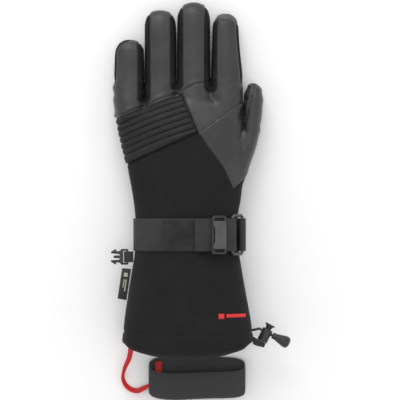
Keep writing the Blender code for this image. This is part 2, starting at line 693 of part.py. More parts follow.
cut(clip, cutter("cut_clip_slot", *prism(slot_outline, -CLIP_THICKNESS, CLIP_THICKNESS, clip_place)))
tab_turn = 2.2 + TAB_THICKNESS / 2
tab_middle = (clip_pivot.x, clip_pivot.z)
tab_low_y, tab_high_y = CLIP_Y - h + 2.3, CLIP_Y + h - 2.3
tab_start = min(side_x(tab_low_y), side_x(tab_high_y)) - GAP
ribbon("clip_tab", WEB, [(tab_start, clip_z + tab_turn)] + arc(tab_middle, tab_turn, 90, 270)
       + [(tab_start, clip_z - tab_turn)], TAB_THICKNESS, tab_low_y, tab_high_y)

label_low_y = LABEL_TOP_Y - LABEL_LENGTH
label_z = section(LABEL_TOP_Y)[2] + section(LABEL_TOP_Y)[3] / 2
label_root = [(side_x(y) - GAP - 0.9, y) for y in (LABEL_TOP_Y, label_low_y)]
label_outline = [label_root[0], (label_root[0][0] - LABEL_WIDTH, LABEL_TOP_Y + 0.8),
                 (label_root[1][0] - LABEL_WIDTH, label_low_y + 1.4), label_root[1]]
label_pivot = (label_root[0][0], LABEL_TOP_Y, label_z)
add("side_label", *prism(label_outline, label_z - 0.5, label_z + 0.5), GLOSS, label_pivot)


# ------------------------------------------------------------------- hem drawcord and its lock

def spline(points, count):
    """Evenly numbered points of a smooth curve through the given points."""
    ends = [points[0] * 2 - points[1], *points, points[-1] * 2 - points[-2]]
    curve = []
    for n in range(count):
        at = (len(points) - 1) * n / (count - 1)
        k = min(int(at), len(points) - 2)
        t = at - k
        a, b, c, d = ends[k:k + 4]
        curve.append(0.5 * (2 * b + (c - a) * t + (2 * a - 5 * b + 4 * c - d) * t * t
                            + (3 * b - a - 3 * c + d) * t ** 3))
    return curve


def cord_curve(name, look, points, radius):
    """A round cord: a poly curve with a bevel and filled ends."""
    data = bpy.data.curves.new(name, "CURVE")
    data.dimensions = "3D"
    data.bevel_depth = radius * MM
    data.bevel_resolution = 2
    data.use_fill_caps = True
    line = data.splines.new("POLY")
    line.points.add(len(points) - 1)
    for knot, point in zip(line.points, points):
        knot.co = (*(Vector(point) * MM), 1)
    data.materials.append(material(name, look))
    made = bpy.data.objects.new(name, data)
    bpy.context.collection.objects.link(made)
    return made


tilt_lock = math.radians(LOCK_TILT_DEG)
press = Vector((math.cos(tilt_lock), math.sin(tilt_lock), 0))
through = Vector((math.sin(tilt_lock), -math.cos(tilt_lock), 0))
lock_place = Matrix.Translation(LOCK_AT) @ Matrix((
    (through.x, 0, press.x, 0), (through.y, 0, press.y, 0), (0, -1, 0, 0), (0, 0, 0, 1)))
CORD_HEIGHT = 1.0
CORD_BORE = CORD / 2 + GAP
CAVITY_RADIUS = BUTTON_RADIUS + GAP
BODY_TOP = 4.0
BODY_LOW = -8.0
CAVITY_LOW = -6.6
STEM_LOW = -1.6
FLANGE = 1.6
flange_low = BODY_TOP + BUTTON_TRAVEL + GAP

body = add("cord_lock_body", *cylinder(LOCK_RADIUS, BODY_LOW, BODY_TOP, lock_place), PLASTIC)
cut(body, cutter("cut_lock_cavity", *cylinder(CAVITY_RADIUS, CAVITY_LOW, BODY_TOP + 5, lock_place)))
along_cord = lock_place @ Matrix.Translation((0, 0, CORD_HEIGHT)) @ Matrix.Rotation(math.pi / 2, 4, "Y")
cut(body, cutter("cut_lock_bore", *cylinder(CORD_BORE, -20, 20, along_cord, 12)))
button_profile = [(BUTTON_RADIUS, STEM_LOW), (BUTTON_RADIUS, flange_low), (LOCK_RADIUS - 0.2, flange_low),
                  (LOCK_RADIUS - 0.2, flange_low + FLANGE)]
button = add("cord_lock_button", *solid([
    [lock_place @ Vector((r * math.cos(a), r * math.sin(a), z)) for a in
     (2 * math.pi * n / 16 for n in range(16))] for r, z in button_profile]), PLASTIC, LOCK_AT)
slot_low, slot_high = CORD_HEIGHT - CORD_BORE, CORD_HEIGHT + CORD_BORE + BUTTON_TRAVEL
button_slot = [(-20, -CORD_BORE, slot_low), (20, -CORD_BORE, slot_low), (20, CORD_BORE, slot_low),
               (-20, CORD_BORE, slot_low)]
slot_points = [lock_place @ Vector(p) for p in button_slot]
slot_points += [lock_place @ Vector((x, y, slot_high)) for x, y, _ in button_slot]
cut(button, cutter("cut_button_slot", slot_points,
                   [(0, 1, 2, 3), (7, 6, 5, 4), (0, 4, 5, 1), (1, 5, 6, 2), (2, 6, 7, 3), (3, 7, 4, 0)]))

SPRING_TURNS = 3
SPRING_WIRE = 0.25
spring_low, spring_high = CAVITY_LOW + GAP + SPRING_WIRE, STEM_LOW - GAP - SPRING_WIRE
spring_points = []
for n in range(SPRING_TURNS * 12 + 1):
    turn = 2 * math.pi * n / 12
    height = between(spring_low, spring_high, n / (SPRING_TURNS * 12))
    spring_points.append(lock_place @ Vector((2.2 * math.cos(turn), 2.2 * math.sin(turn), height)))
spring = cord_curve("cord_lock_spring", STEEL, spring_points, SPRING_WIRE)
spring.data.bevel_resolution = 1

CHANNEL_INSET = (SHELL + LINING_IN) / 2
exit_angle = -0.16
channel = [hand_point(2 * math.pi * k / 40 + exit_angle + 0.22, CORD_Y, CHANNEL_INSET) for k in range(38)]
outlet = hand_point(exit_angle, CORD_Y, CHANNEL_INSET)
lock_entry = lock_place @ Vector((-LOCK_RADIUS - 1, 0, CORD_HEIGHT))
PULL_START = LOCK_RADIUS + 1.2
PULL_LENGTH = 17.0
cord_end = lock_place @ Vector((PULL_START + 5.0, 0, CORD_HEIGHT))
exit_inside = hand_point(2 * math.pi * 37.6 / 40 + exit_angle + 0.22, CORD_Y, CHANNEL_INSET)
outside = spline([channel[-1], exit_inside, lock_entry - through * 1.5], 9)
straight = [between(lock_entry, cord_end, k / 5) for k in range(6)]
drawcord = cord_curve("drawcord", BLACK, channel[:-1] + outside + straight, CORD / 2)
hole_direction = (lock_entry - exit_inside).normalized()
hole_place = Matrix.Translation(exit_inside) @ hole_direction.to_track_quat("Z", "Y").to_matrix().to_4x4()
cord_hole = cutter("cut_cord_hole", *cylinder(CORD / 2 + 1.0, -1.6, 9, hole_place, 12))
for piece in (bpy.data.objects["gauntlet_back"], gauntlet_palm):
    cut(piece, cord_hole)

pull_profile = [(2.75, 0), (3.1, 4), (5.2, PULL_LENGTH - 5), (5.3, PULL_LENGTH - 2.6), (4.3, PULL_LENGTH - 0.8),
                (2.2, PULL_LENGTH)]
pull_place = lock_place @ Matrix.Translation((PULL_START, 0, CORD_HEIGHT)) @ Matrix.Rotation(math.pi / 2, 4, "Y")
pull = add("cord_pull", *solid([
    [pull_place @ Vector((r * math.cos(a), r * math.sin(a), z)) for a in
     (2 * math.pi * n / 14 for n in range(14))] for r, z in pull_profile]), PLASTIC)
cut(pull, cutter("cut_pull_bore", *cylinder(CORD_BORE, -1, 5.5, pull_place, 12)))

lock_foot = lock_place @ Vector((0, 0, BODY_LOW - GAP))
tab_root = hand_point(-0.05, HEM_Y + 1, -GAP)
tab_along = (lock_foot - tab_root).normalized()
tab_side_way = Vector((-tab_along.y, tab_along.x, 0)).normalized() * 3.6
tab_up = Vector((0, 0, 0.6))
tab_corners = [tab_root + tab_along * 0.9 - tab_side_way, lock_foot + through * 3.6,
               lock_foot - through * 3.6, tab_root + tab_along * 0.9 + tab_side_way]
tab_corners = [Vector((p.x, p.y, between(tab_root.z, lock_foot.z, 0.5))) for p in tab_corners]
add("lock_tab", [p - tab_up for p in tab_corners] + [p + tab_up for p in tab_corners],
    [(0, 1, 2, 3), (4, 5, 6, 7), (0, 1, 5, 4), (1, 2, 6, 5), (2, 3, 7, 6), (3, 0, 4, 7)], WEB)


# ------------------------------------------------------------------------------------- leash

LEASH_SWAY = 7.7
LEASH_MIDDLE = Vector((9.0, HEM_Y - HEM_BINDING - HEM_SAG - LEASH_BAND_WIDTH / 2 - LEASH_SWAY - 1.5, 6.6))
LEASH_RISE = 5.4
LEASH_POWER = 3.0
LEASH_POINTS = 40


def leash_point(turn, offset=0.0):
    """The band's middle line as an (x, y, z), moved out of the loop by an offset."""
    here = squircle(turn, LEASH_POWER)
    ahead = squircle(turn + 0.02, LEASH_POWER)
    behind = squircle(turn - 0.02, LEASH_POWER)
    half = (LEASH_BAND_LENGTH - LEASH_BAND_THICKNESS) / 2
    along = Vector(((ahead[0] - behind[0]) * half, (ahead[1] - behind[1]) * LEASH_RISE)).normalized()
    return Vector((LEASH_MIDDLE.x + half * here[0] + along.y * offset,
                   LEASH_MIDDLE.y - LEASH_SWAY * here[1],
                   LEASH_MIDDLE.z + LEASH_RISE * here[1] - along.x * offset))


def leash_rings(offset):
    turns = [2 * math.pi * (k + 0.5) / LEASH_POINTS for k in range(LEASH_POINTS)]
    return [[leash_point(t, offset) + Vector((0, side, 0)) for t in turns]
            for side in (-LEASH_BAND_WIDTH / 2, LEASH_BAND_WIDTH / 2)]


half_band = LEASH_BAND_THICKNESS / 2
add("leash_band", *sleeve(leash_rings(half_band), leash_rings(-half_band)), WEB)
patch_turns = [math.radians(a) for a in (213, 218, 224, 230)]
patch_rows = [[[leash_point(t, -half_band - GAP - d) + Vector((0, side, 0)) for t in patch_turns]
               for side in (-2.0, 8.5)] for d in (0.0, 0.6)]
add("leash_patch", *slab(*patch_rows), RED)

TAPE_ROUTE = [(-50.9, -179.4, 14.5), (-52.6, -188.5, 8.0), (-56.5, -197.5, 3.6), (-58.5, -206.0, 2.5),
              (-56.2, -212.8, 2.5), (-51.0, -217.3, 2.7), (-45.2, -218.6, 3.2), (-40.0, -216.4, 4.2)]
cord_curve("leash_tape", RED, spline([Vector(p) for p in TAPE_ROUTE], 22), LEASH_TAPE / 2)
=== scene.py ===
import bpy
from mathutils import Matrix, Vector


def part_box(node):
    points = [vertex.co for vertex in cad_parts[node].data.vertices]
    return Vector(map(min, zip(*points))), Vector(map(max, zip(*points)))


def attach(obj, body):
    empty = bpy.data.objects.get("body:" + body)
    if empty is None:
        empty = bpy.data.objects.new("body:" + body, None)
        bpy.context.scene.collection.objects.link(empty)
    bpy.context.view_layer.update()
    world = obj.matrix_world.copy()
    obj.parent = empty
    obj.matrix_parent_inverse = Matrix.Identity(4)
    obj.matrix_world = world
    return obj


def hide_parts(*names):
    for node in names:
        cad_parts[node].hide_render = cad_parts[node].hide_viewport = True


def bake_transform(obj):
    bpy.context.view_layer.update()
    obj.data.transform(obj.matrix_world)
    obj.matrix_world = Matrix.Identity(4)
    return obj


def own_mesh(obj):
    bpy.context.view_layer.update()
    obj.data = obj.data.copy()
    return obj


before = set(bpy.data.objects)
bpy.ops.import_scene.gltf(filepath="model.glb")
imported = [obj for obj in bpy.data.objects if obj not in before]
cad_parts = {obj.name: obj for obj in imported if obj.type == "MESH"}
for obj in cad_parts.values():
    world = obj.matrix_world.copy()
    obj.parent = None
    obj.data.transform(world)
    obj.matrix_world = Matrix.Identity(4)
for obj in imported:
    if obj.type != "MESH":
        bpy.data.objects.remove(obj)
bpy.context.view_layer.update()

import math

import bmesh
import bpy
import numpy as np
from mathutils import Vector
from mathutils.bvhtree import BVHTree

MM = 0.001

# Camera, floor and lights. The glove lies palm down on a pale table and is seen straight from above,
# with a long lens, under a large soft light past the fingertips and two weaker ones at the sides.
LOOK_AT = Vector((0.0117, -0.045, 0.025))
CAMERA_HEIGHT = 2.0
camera_data = bpy.data.cameras.new("camera")
camera_data.lens = 200
camera_data.sensor_width = 36
camera_data.clip_end = 10
camera = bpy.data.objects.new("camera", camera_data)
camera.location = LOOK_AT + Vector((0, 0, CAMERA_HEIGHT))
bpy.context.scene.collection.objects.link(camera)
bpy.context.scene.camera = camera


def soft_light(name, place, aim, size, power):
    """A square area light that faces a point."""
    data = bpy.data.lights.new(name, "AREA")
    data.shape = "SQUARE"
    data.size = size
    data.energy = power
    lamp = bpy.data.objects.new(name, data)
    lamp.location = place
    lamp.rotation_euler = (Vector(aim) - Vector(place)).to_track_quat("-Z", "Y").to_euler()
    bpy.context.scene.collection.objects.link(lamp)


soft_light("key_light", (-0.2, 1.15, 0.85), (0, 0.05, 0), 0.8, 8.0)
soft_light("top_light", (0.1, -0.3, 2.6), (0, 0, 0), 1.2, 6.0)
soft_light("side_light", (1.2, -0.3, 0.7), (0, 0, 0), 0.8, 1.4)
soft_light("left_light", (-1.2, -0.2, 0.7), (0, 0, 0), 0.8, 1.4)
world = bpy.data.worlds.new("studio")
world.use_nodes = True
world.node_tree.nodes["Background"].inputs["Color"].default_value = (1, 1, 1, 1)
world.node_tree.nodes["Background"].inputs["Strength"].default_value = 0.8
bpy.context.scene.world = world
bpy.context.scene.view_settings.view_transform = "Standard"


class Socket:
    """A shader value that Python expressions work on; each expression adds its nodes."""

    def __init__(self, tree, link, kind="value"):
        self.tree, self.link, self.kind = tree, link, kind

    def node(self, node_type, values=(), output=0, kind="value", stops=None, **settings):
        """Any other node, with its settings, the values or links of its sockets and a ramp's stops."""
        made = self.tree.nodes.new(node_type)
        for name, value in settings.items():
            setattr(made, name, value)
        if stops:
            ramp = made.color_ramp
            while len(ramp.elements) < len(stops):
                ramp.elements.new(0.5)
            for element, (place, colour) in zip(ramp.elements, stops):
                element.position = place
                element.color = (*colour, 1)
        pairs = values.items() if isinstance(values, dict) else enumerate(values)
        for name, value in pairs:
            if isinstance(value, Socket):
                self.tree.links.new(value.link, made.inputs[name])
            elif value is not None:
                made.inputs[name].default_value = value
        return Socket(self.tree, made.outputs[output], kind)

    def maths(self, operation, *values):
        return self.node("ShaderNodeMath", values, operation=operation)

    def __add__(self, other):
        return self.maths("ADD", self, other)

    __radd__ = __add__

    def __sub__(self, other):
        return self.maths("SUBTRACT", self, other)

    def __rsub__(self, other):
        return self.maths("SUBTRACT", other, self)

    def __mul__(self, other):
        return self.maths("MULTIPLY", self, other)

    __rmul__ = __mul__

    def smooth(self, low, high):
        """0 below low and 1 above high, with a soft step between."""
        return self.node("ShaderNodeMapRange", (self, low, high, 0.0, 1.0), interpolation_type="SMOOTHSTEP")

    def mix(self, first, second):
        """A colour between two, by this value."""
        colours = {6: first if isinstance(first, Socket) else (*first, 1),
                   7: second if isinstance(second, Socket) else (*second, 1), 0: self}
        return self.node("ShaderNodeMix", colours, output=2, kind="colour", data_type="RGBA")


def new_material(name, **fixed):
    """A Principled material with its fixed sockets set; returns it with a Socket to build from."""
    made = bpy.data.materials.new(name)
    made.use_nodes = True
    tree = made.node_tree
    shader = tree.nodes["Principled BSDF"]
    for socket, value in fixed.items():
        shader.inputs[socket.replace("_", " ").title().replace("Ior", "IOR")].default_value = value
    return made, Socket(tree, None)


def finish_material(made, colour=None, roughness=None, bumps=()):
    """Links what varies over the surface: colour, roughness and a chain of (height, strength, distance)."""
    tree = made.node_tree
    shader = tree.nodes["Principled BSDF"]
    if colour is not None:
        tree.links.new(colour.link, shader.inputs["Base Color"])
    if roughness is not None:
        tree.links.new(roughness.link, shader.inputs["Roughness"])
    before = None
    for height, strength, distance in bumps:
        bump = Socket(tree, None).node("ShaderNodeBump", {"Strength": strength, "Distance": distance,
                                                         "Height": height, "Normal": before}, kind="vector")
        before = bump
    if before is not None:
        tree.links.new(before.link, shader.inputs["Normal"])
    return made


floor_material, _ = new_material("table_white", roughness=0.9)
floor_material.node_tree.nodes["Principled BSDF"].inputs["Base Color"].default_value = (0.93, 0.93, 0.93, 1)
floor_mesh = bpy.data.meshes.new("table")
floor_mesh.from_pydata([(-3, -3, 0), (3, -3, 0), (3, 3, 0), (-3, 3, 0)], [], [(0, 1, 2, 3)])
floor_mesh.materials.append(floor_material)
floor = bpy.data.objects.new("table", floor_mesh)
bpy.context.scene.collection.objects.link(floor)


# The leash: a flat red tape sewn inside the cuff's edge, which twists as it falls to the table, and a
# 25 mm elastic wrist band sewn into a ring on its end, with a red patch over the band's seam.
TAPE_WIDTH = 4.7
TAPE_THICKNESS = 1.1
TAPE_STEPS = 71
TAPE_SIDES = 12
TAPE_SEWN_IN = (-0.0512, -0.1750, 0.0166)
TAPE_ROUTE = ((-0.0509, -0.1794, 0.0145), (-0.0526, -0.1885, 0.0080), (-0.0565, -0.1975, 0.0036),
              (-0.0585, -0.2060, 0.0025), (-0.0562, -0.2128, 0.0025), (-0.0510, -0.2173, 0.0027),
              (-0.0452, -0.2186, 0.0032), (-0.0400, -0.2164, 0.0042))
TAPE_SEWN_ON = ((-0.0365, -0.2146, 0.0054), (-0.0340, -0.2132, 0.0066))
BAND_MIDDLE = Vector((9.0, -206.2, 6.6))
BAND_HALF = 43.2
BAND_WIDTH = 24.0
BAND_THICKNESS = 1.5
BAND_SWAY = 7.7
BAND_RISE = 5.4
BAND_POWER = 3.0


def make_mesh(name, points, faces, *materials):
    """An object at the origin from points in millimetres, its faces turned out."""
    mesh = bpy.data.meshes.new(name)
    mesh.from_pydata((np.asarray(points, float) * MM).tolist(), [], faces)
    for each in materials:
        mesh.materials.append(each)
    made = bpy.data.objects.new(name, mesh)
    bpy.context.scene.collection.objects.link(made)
    return made


def face_out(mesh):
    """Turns every face of a closed mesh outwards."""
    work = bmesh.new()
    work.from_mesh(mesh)
    bmesh.ops.recalc_face_normals(work, faces=work.faces)
    work.to_mesh(mesh)
    work.free()


def keep_rest(mesh):
    """Stores each point's place at rest, which the materials read, so that a pattern bends with its piece."""
    values = np.empty(len(mesh.vertices) * 3, np.float32)
    mesh.vertices.foreach_get("co", values)
    mesh.attributes.new("rest", "FLOAT_VECTOR", "POINT").data.foreach_set("vector", values)


def rest_place(start):
    """The place at rest of the point that is shaded."""
    return start.node("ShaderNodeAttribute", output=1, kind="vector", attribute_name="rest")


def noise(place, scale, detail=3.0):
    """Soft noise from 0 to 1."""
    return place.node("ShaderNodeTexNoise",
                      {"Vector": place, "Scale": scale, "Detail": detail, "Roughness": 0.55})


def weave_cloth(name, dark, light, roughness, ridge, pitch):
    """Woven webbing: fine ribs across it and a slight unevenness from thread to thread."""
    made, start = new_material(name)
    place = rest_place(start)
    wave = {"Vector": place, "Scale": pitch, "Distortion": 0.4, "Detail": 1.0}
    ribs = place.node("ShaderNodeTexWave", wave, wave_type="BANDS", bands_direction=ridge)
    threads = place.node("ShaderNodeTexWave", {"Vector": place, "Scale": pitch * 0.62, "Distortion": 0.3},
                         wave_type="BANDS", bands_direction="Y" if ridge == "X" else "X")
    cloudy = noise(place, 90.0, 3.0)
    tone = (cloudy.smooth(0.3, 0.75) * 0.4 + ribs * threads * 0.6).mix(dark, light)
    fluff = noise(place, 2200.0)
    return finish_material(made, tone, roughness + 0.1 * cloudy,
                           [(ribs, 0.5, 0.0002), (threads, 0.3, 0.00015), (fluff, 0.1, 0.00008)])


def closed_grid(name, top, bottom, material):
    """A closed sheet between two equal grids of points, given as rows."""
    rows, columns = len(top), len(top[0])
    count = rows * columns
    points = [p for row in top for p in row] + [p for row in bottom for p in row]
    faces = []
    for r in range(rows - 1):
        for c in range(columns - 1):
            a, b = r * columns + c, (r + 1) * columns + c
            faces.append((a, a + 1, b + 1, b))
            faces.append((count + a, count + b, count + b + 1, count + a + 1))
    rim = [(0, c) for c in range(columns)] + [(r, columns - 1) for r in range(1, rows)]
    rim += [(rows - 1, c) for c in range(columns - 2, -1, -1)] + [(r, 0) for r in range(rows - 2, 0, -1)]
    rim = [r * columns + c for r, c in rim]
    for k, a in enumerate(rim):
        b = rim[(k + 1) % len(rim)]
        faces.append((b, a, count + a, count + b))
    made = make_mesh(name, points, faces, material)
    face_out(made.data)
    keep_rest(made.data)
    return made


def apply_modifiers(obj):
    """The object's mesh as its modifiers make it, with none of them left."""
    evaluated = obj.evaluated_get(bpy.context.evaluated_depsgraph_get())
    mesh = bpy.data.meshes.new_from_object(evaluated)
    obj.modifiers.clear()
    old = obj.data
    obj.data = mesh
    bpy.data.meshes.remove(old)


def tube_faces(rings, sides):
    """Faces of a closed tube through rings of points, with a cap at each end."""
    faces = [(r * sides + k, r * sides + (k + 1) % sides, (r + 1) * sides + (k + 1) % sides,
              (r + 1) * sides + k) for r in range(rings - 1) for k in range(sides)]
    return faces + [tuple(range(sides)), tuple((rings - 1) * sides + k for k in range(sides))]


WELD = 0.00002
FLAT_WITHIN = math.radians(3)
ROUNDED_PAST = math.radians(32)


def finished_copy(node, material, bevel, body="hand", angle=38, segments=2):
    """A copy of a CAD node with its edges rounded, which stands for it and rides its body."""
    source = bpy.data.objects[node]
    mesh = bpy.data.meshes.new(node + "_finished")
    work = bmesh.new()
    work.from_mesh(source.data)
    bmesh.ops.remove_doubles(work, verts=work.verts, dist=WELD)
    bmesh.ops.dissolve_limit(work, angle_limit=FLAT_WITHIN, verts=work.verts, edges=work.edges)
    work.to_mesh(mesh)
    work.free()
    mesh.materials.clear()
    mesh.materials.append(material)
    made = bpy.data.objects.new(node + "_finished", mesh)
    bpy.context.scene.collection.objects.link(made)
    rounding = made.modifiers.new("rounding", "BEVEL")
    rounding.width = bevel * MM
    rounding.segments = segments
    rounding.limit_method = "ANGLE"
    rounding.angle_limit = ROUNDED_PAST
    apply_modifiers(made)
    made.data.shade_smooth()
    made.data.set_sharp_from_angle(angle=math.radians(angle))
    keep_rest(made.data)
    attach(made, body)
    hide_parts(node)
    return made


def smooth_route(points, count):
    """A Catmull-Rom curve through points, with evenly spaced steps."""
    points = [Vector(p) for p in points]
    ends = [2 * points[0] - points[1]] + points + [2 * points[-1] - points[-2]]
    dense = []
    for a, b, c, d in zip(ends, ends[1:], ends[2:], ends[3:]):
        for step in range(20):
            t = step / 20
            dense.append(0.5 * (2 * b + (c - a) * t + (2 * a - 5 * b + 4 * c - d) * t * t
                                + (3 * b - a - 3 * c + d) * t ** 3))
    dense.append(points[-1])
    total = np.cumsum([0] + [(q - p).length for p, q in zip(dense, dense[1:])])
    flat = np.array(dense)
    at = np.linspace(0, total[-1], count)
    return [Vector([np.interp(value, total, flat[:, k]) for k in range(3)]) for value in at], total[-1]


tape_path, tape_length = smooth_route((TAPE_SEWN_IN, *TAPE_ROUTE, *TAPE_SEWN_ON), TAPE_STEPS + 1)
TAPE_TWIST = ((0.0, 5), (0.25, 20), (0.48, 62), (0.68, 30), (0.85, 12), (1.0, 55))
tape_rings = []
for k, here in enumerate(tape_path):
    along = (tape_path[min(k + 1, TAPE_STEPS)] - tape_path[max(k - 1, 0)]).normalized()
    level = along.cross(Vector((0, 0, 1))).normalized()
    turn = math.radians(np.interp(k / TAPE_STEPS, *zip(*TAPE_TWIST)))
    wide = level * math.cos(turn) + level.cross(along) * math.sin(turn)
    thick = along.cross(wide)
    ring = []
    for n in range(TAPE_SIDES):
        angle = 2 * math.pi * (n + 0.5) / TAPE_SIDES
        c, s_ = math.cos(angle), math.sin(angle)
        across = math.copysign(abs(c) ** 0.4, c) * TAPE_WIDTH / 2
        through = math.copysign(abs(s_) ** 0.7, s_) * TAPE_THICKNESS / 2
        ring.append(here / MM + wide * across + thick * through)
    tape_rings.append(ring)
red_tape = weave_cloth("red_webbing", (0.5, 0.006, 0.008), (0.72, 0.012, 0.014), 0.5, "Y", 420.0)
leash_tape = make_mesh("leash_tape_woven", [p for ring in tape_rings for p in ring],
                       tube_faces(TAPE_STEPS + 1, TAPE_SIDES), red_tape)
face_out(leash_tape.data)
leash_tape.data.shade_smooth()
keep_rest(leash_tape.data)


def band_point(turn, out, across):
    """A point of the wrist band: its turn round the ring, how far out of it, and how far across."""
    def place(angle):
        c, s_ = math.cos(angle), math.sin(angle)
        return math.copysign(abs(c) ** (2 / BAND_POWER), c), math.copysign(abs(s_) ** (2 / BAND_POWER), s_)
    here, ahead, behind = place(turn), place(turn + 0.02), place(turn - 0.02)
    along = Vector(((ahead[0] - behind[0]) * BAND_HALF, (ahead[1] - behind[1]) * BAND_RISE)).normalized()
    wave = 0.9 * math.sin(here[0] * 3.1 + 0.6) if here[1] > 0 else -0.5 * math.sin(here[0] * 3.1 + 0.6) - 0.6
    return Vector((BAND_MIDDLE.x + BAND_HALF * here[0] + along.y * out,
                   BAND_MIDDLE.y - BAND_SWAY * here[1] + across * BAND_WIDTH / 2 + wave,
                   BAND_MIDDLE.z + BAND_RISE * here[1] - along.x * out))


BAND_TURNS = 128
BAND_ACROSS = np.linspace(-1, 1, 13)
section_line = [(BAND_THICKNESS / 2 * (1 - 0.35 * abs(a) ** 8), a) for a in BAND_ACROSS]
section_line += [(-out, a) for out, a in reversed(section_line)]
band_points = [band_point(2 * math.pi * (k + 0.5) / BAND_TURNS, out, a) for k in range(BAND_TURNS)
               for out, a in section_line]
wide_count = len(section_line)
band_faces = [(k * wide_count + n, k * wide_count + (n + 1) % wide_count,
               (k + 1) % BAND_TURNS * wide_count + (n + 1) % wide_count,
               (k + 1) % BAND_TURNS * wide_count + n)
              for k in range(BAND_TURNS) for n in range(wide_count)]
band_made, band_start = new_material("ribbed_elastic", roughness=0.75)
band_place = rest_place(band_start)
edge = band_start.node("ShaderNodeAttribute", output=2, attribute_name="edge")
elastic_ribs = band_place.node("ShaderNodeTexWave", {"Vector": band_place, "Scale": 300.0, "Distortion": 0.5},
                               wave_type="BANDS", bands_direction="X")
elastic_rows = band_place.node("ShaderNodeTexWave", {"Vector": band_place, "Scale": 150.0, "Distortion": 0.2},
                               wave_type="BANDS", bands_direction="Y")
band_tone = (elastic_ribs * 0.6 + elastic_rows * 0.4).mix((0.018, 0.018, 0.018), (0.045, 0.045, 0.046))
finish_material(band_made, edge.smooth(0.9, 0.99).mix(band_tone, (0.11, 0.11, 0.11)), None,
                [(elastic_ribs, 0.4, 0.0002), (elastic_rows, 0.35, 0.0002)])
leash_band = make_mesh("leash_band_elastic", band_points, band_faces, band_made)
face_out(leash_band.data)
leash_band.data.shade_smooth()
edges = leash_band.data.attributes.new("edge", "FLOAT", "POINT").data
edges.foreach_set("value", [abs(a) for k in range(BAND_TURNS) for _, a in section_line])
keep_rest(leash_band.data)
leash_patch = finished_copy("leash_patch", red_tape, 0.1)
for piece, node, slot in ((leash_tape, "leash_tape", "red_webbing"), (leash_band, "leash_band", "webbing")):
    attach(piece, "hand")
    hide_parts(node)


# The glove's soft body: hand, gauntlet, four fingers and a thumb, padded and sewn. It starts as round
# lofts, which are joined with the fingers held a little apart, puffed by a cloth simulation between its
# seams, and closed up again. Everything later is cut from it or laid on it.
HEM_Y = -174.0
HEM_SAG = 10.5
HEM_WIDTH = 117.0
HAND_SIDES = 72
FINGER_SIDES = 36
FORM_VOXEL = 2.6
FORM_SMOOTHING = 6
LOST_TO_ROUNDING = 0.8
SWELL_PRESSURE = 4.0
SWELL_MOST = 3.0
SWELL_FRAMES = 20
# y, left edge, right edge, underside, top of the back
HAND_STATIONS = np.array([
    (58.0, -63.0, 49.0, 8.0, 24.0), (52.0, -65.0, 51.5, 3.0, 31.5), (40.0, -64.6, 50.6, 1.9, 35.0),
    (24.0, -62.0, 50.3, 1.8, 38.0), (6.0, -58.6, 50.4, 1.8, 40.5), (-13.0, -54.2, 50.6, 1.8, 42.8),
    (-30.0, -51.0, 50.0, 1.8, 44.6), (-45.0, -48.4, 48.6, 1.9, 46.0), (-58.0, -46.8, 46.0, 2.2, 48.0),
    (-67.0, -46.2, 45.8, 2.6, 48.4), (-85.0, -46.4, 46.4, 2.6, 48.8), (-96.0, -47.6, 47.6, 2.0, 50.6),
    (-115.0, -50.8, 50.8, 1.2, 55.2), (-135.0, -53.8, 54.2, 0.7, 60.0), (-158.0, -56.6, 57.8, 0.3, 65.6),
    (HEM_Y, -57.6, 59.2, 0.15, 69.0), (HEM_Y - 12, -58.2, 60.2, 0.1, 71.0)])
# gap's middle x, the y where the two pieces part, how far apart the sewn form is held
GAPS = ((-38.7, 44.5), (-9.4, 56.0), (21.2, 54.5), (50.6, 16.5))
SPREAD = 6.0
# middle x at the root and the tip, width at the root and below the tip, tip y
FINGERS = {
    "little": (-52.4, -51.9, 26.8, 26.0, 99.6), "ring": (-24.1, -24.2, 28.5, 27.6, 126.4),
    "middle": (5.9, 6.0, 29.8, 28.6, 133.4), "index": (36.1, 34.8, 28.8, 22.4, 123.2)}
FINGER_HEIGHT = 26.0
THUMB_STATIONS = np.array([
    (-42.0, 26.0, 45.0, 6.0, 34.0), (-25.7, 34.0, 52.6, 3.0, 33.0), (-10.0, 40.0, 58.0, 2.2, 31.5),
    (2.0, 45.0, 61.8, 1.9, 30.0), (14.0, 50.6, 64.4, 1.8, 29.0), (29.7, 51.4, 66.9, 1.8, 28.4),
    (46.0, 52.0, 68.0, 1.8, 27.4)])
THUMB_TIP = (60.6, 60.6)


def squircle(angle, power):
    """Sines and cosines of a rounded rectangle."""
    c, s = np.cos(angle), np.sin(angle)
    return np.sign(c) * np.abs(c) ** (2 / power), np.sign(s) * np.abs(s) ** (2 / power)


def smooth_step(value):
    """0 below 0 and 1 above 1, with a soft step between."""
    value = np.clip(value, 0, 1)
    return value * value * (3 - 2 * value)


def curve_through(table, at):
    """Rows of a smooth curve through a table's rows, read at values of its first column."""
    table = table[np.argsort(table[:, 0])]
    x = table[:, 0]
    slopes = np.gradient(table, x, axis=0)
    k = np.clip(np.searchsorted(x, at) - 1, 0, len(x) - 2)
    width = (x[k + 1] - x[k])[:, None]
    t = ((at - x[k])[:, None] / width).clip(0, 1)
    return ((2 * t**3 - 3 * t**2 + 1) * table[k] + (t**3 - 2 * t**2 + t) * width * slopes[k]
            + (3 * t**2 - 2 * t**3) * table[k + 1] + (t**3 - t**2) * width * slopes[k + 1])


def loft(rows, power, sides):
    """Points and faces of a closed solid through sections (y, left, right, underside, top)."""
    angle = 2 * math.pi * (np.arange(sides) + 0.5) / sides
    c, s = squircle(angle, power)
    points = []
    for y, left, right, low, high in rows:
        x = (left + right) / 2 + (right - left) / 2 * c
        z = (low + high) / 2 + (high - low) / 2 * s
        points += [(a, y, b) for a, b in zip(x, z)]
    return points, tube_faces(len(rows), sides)


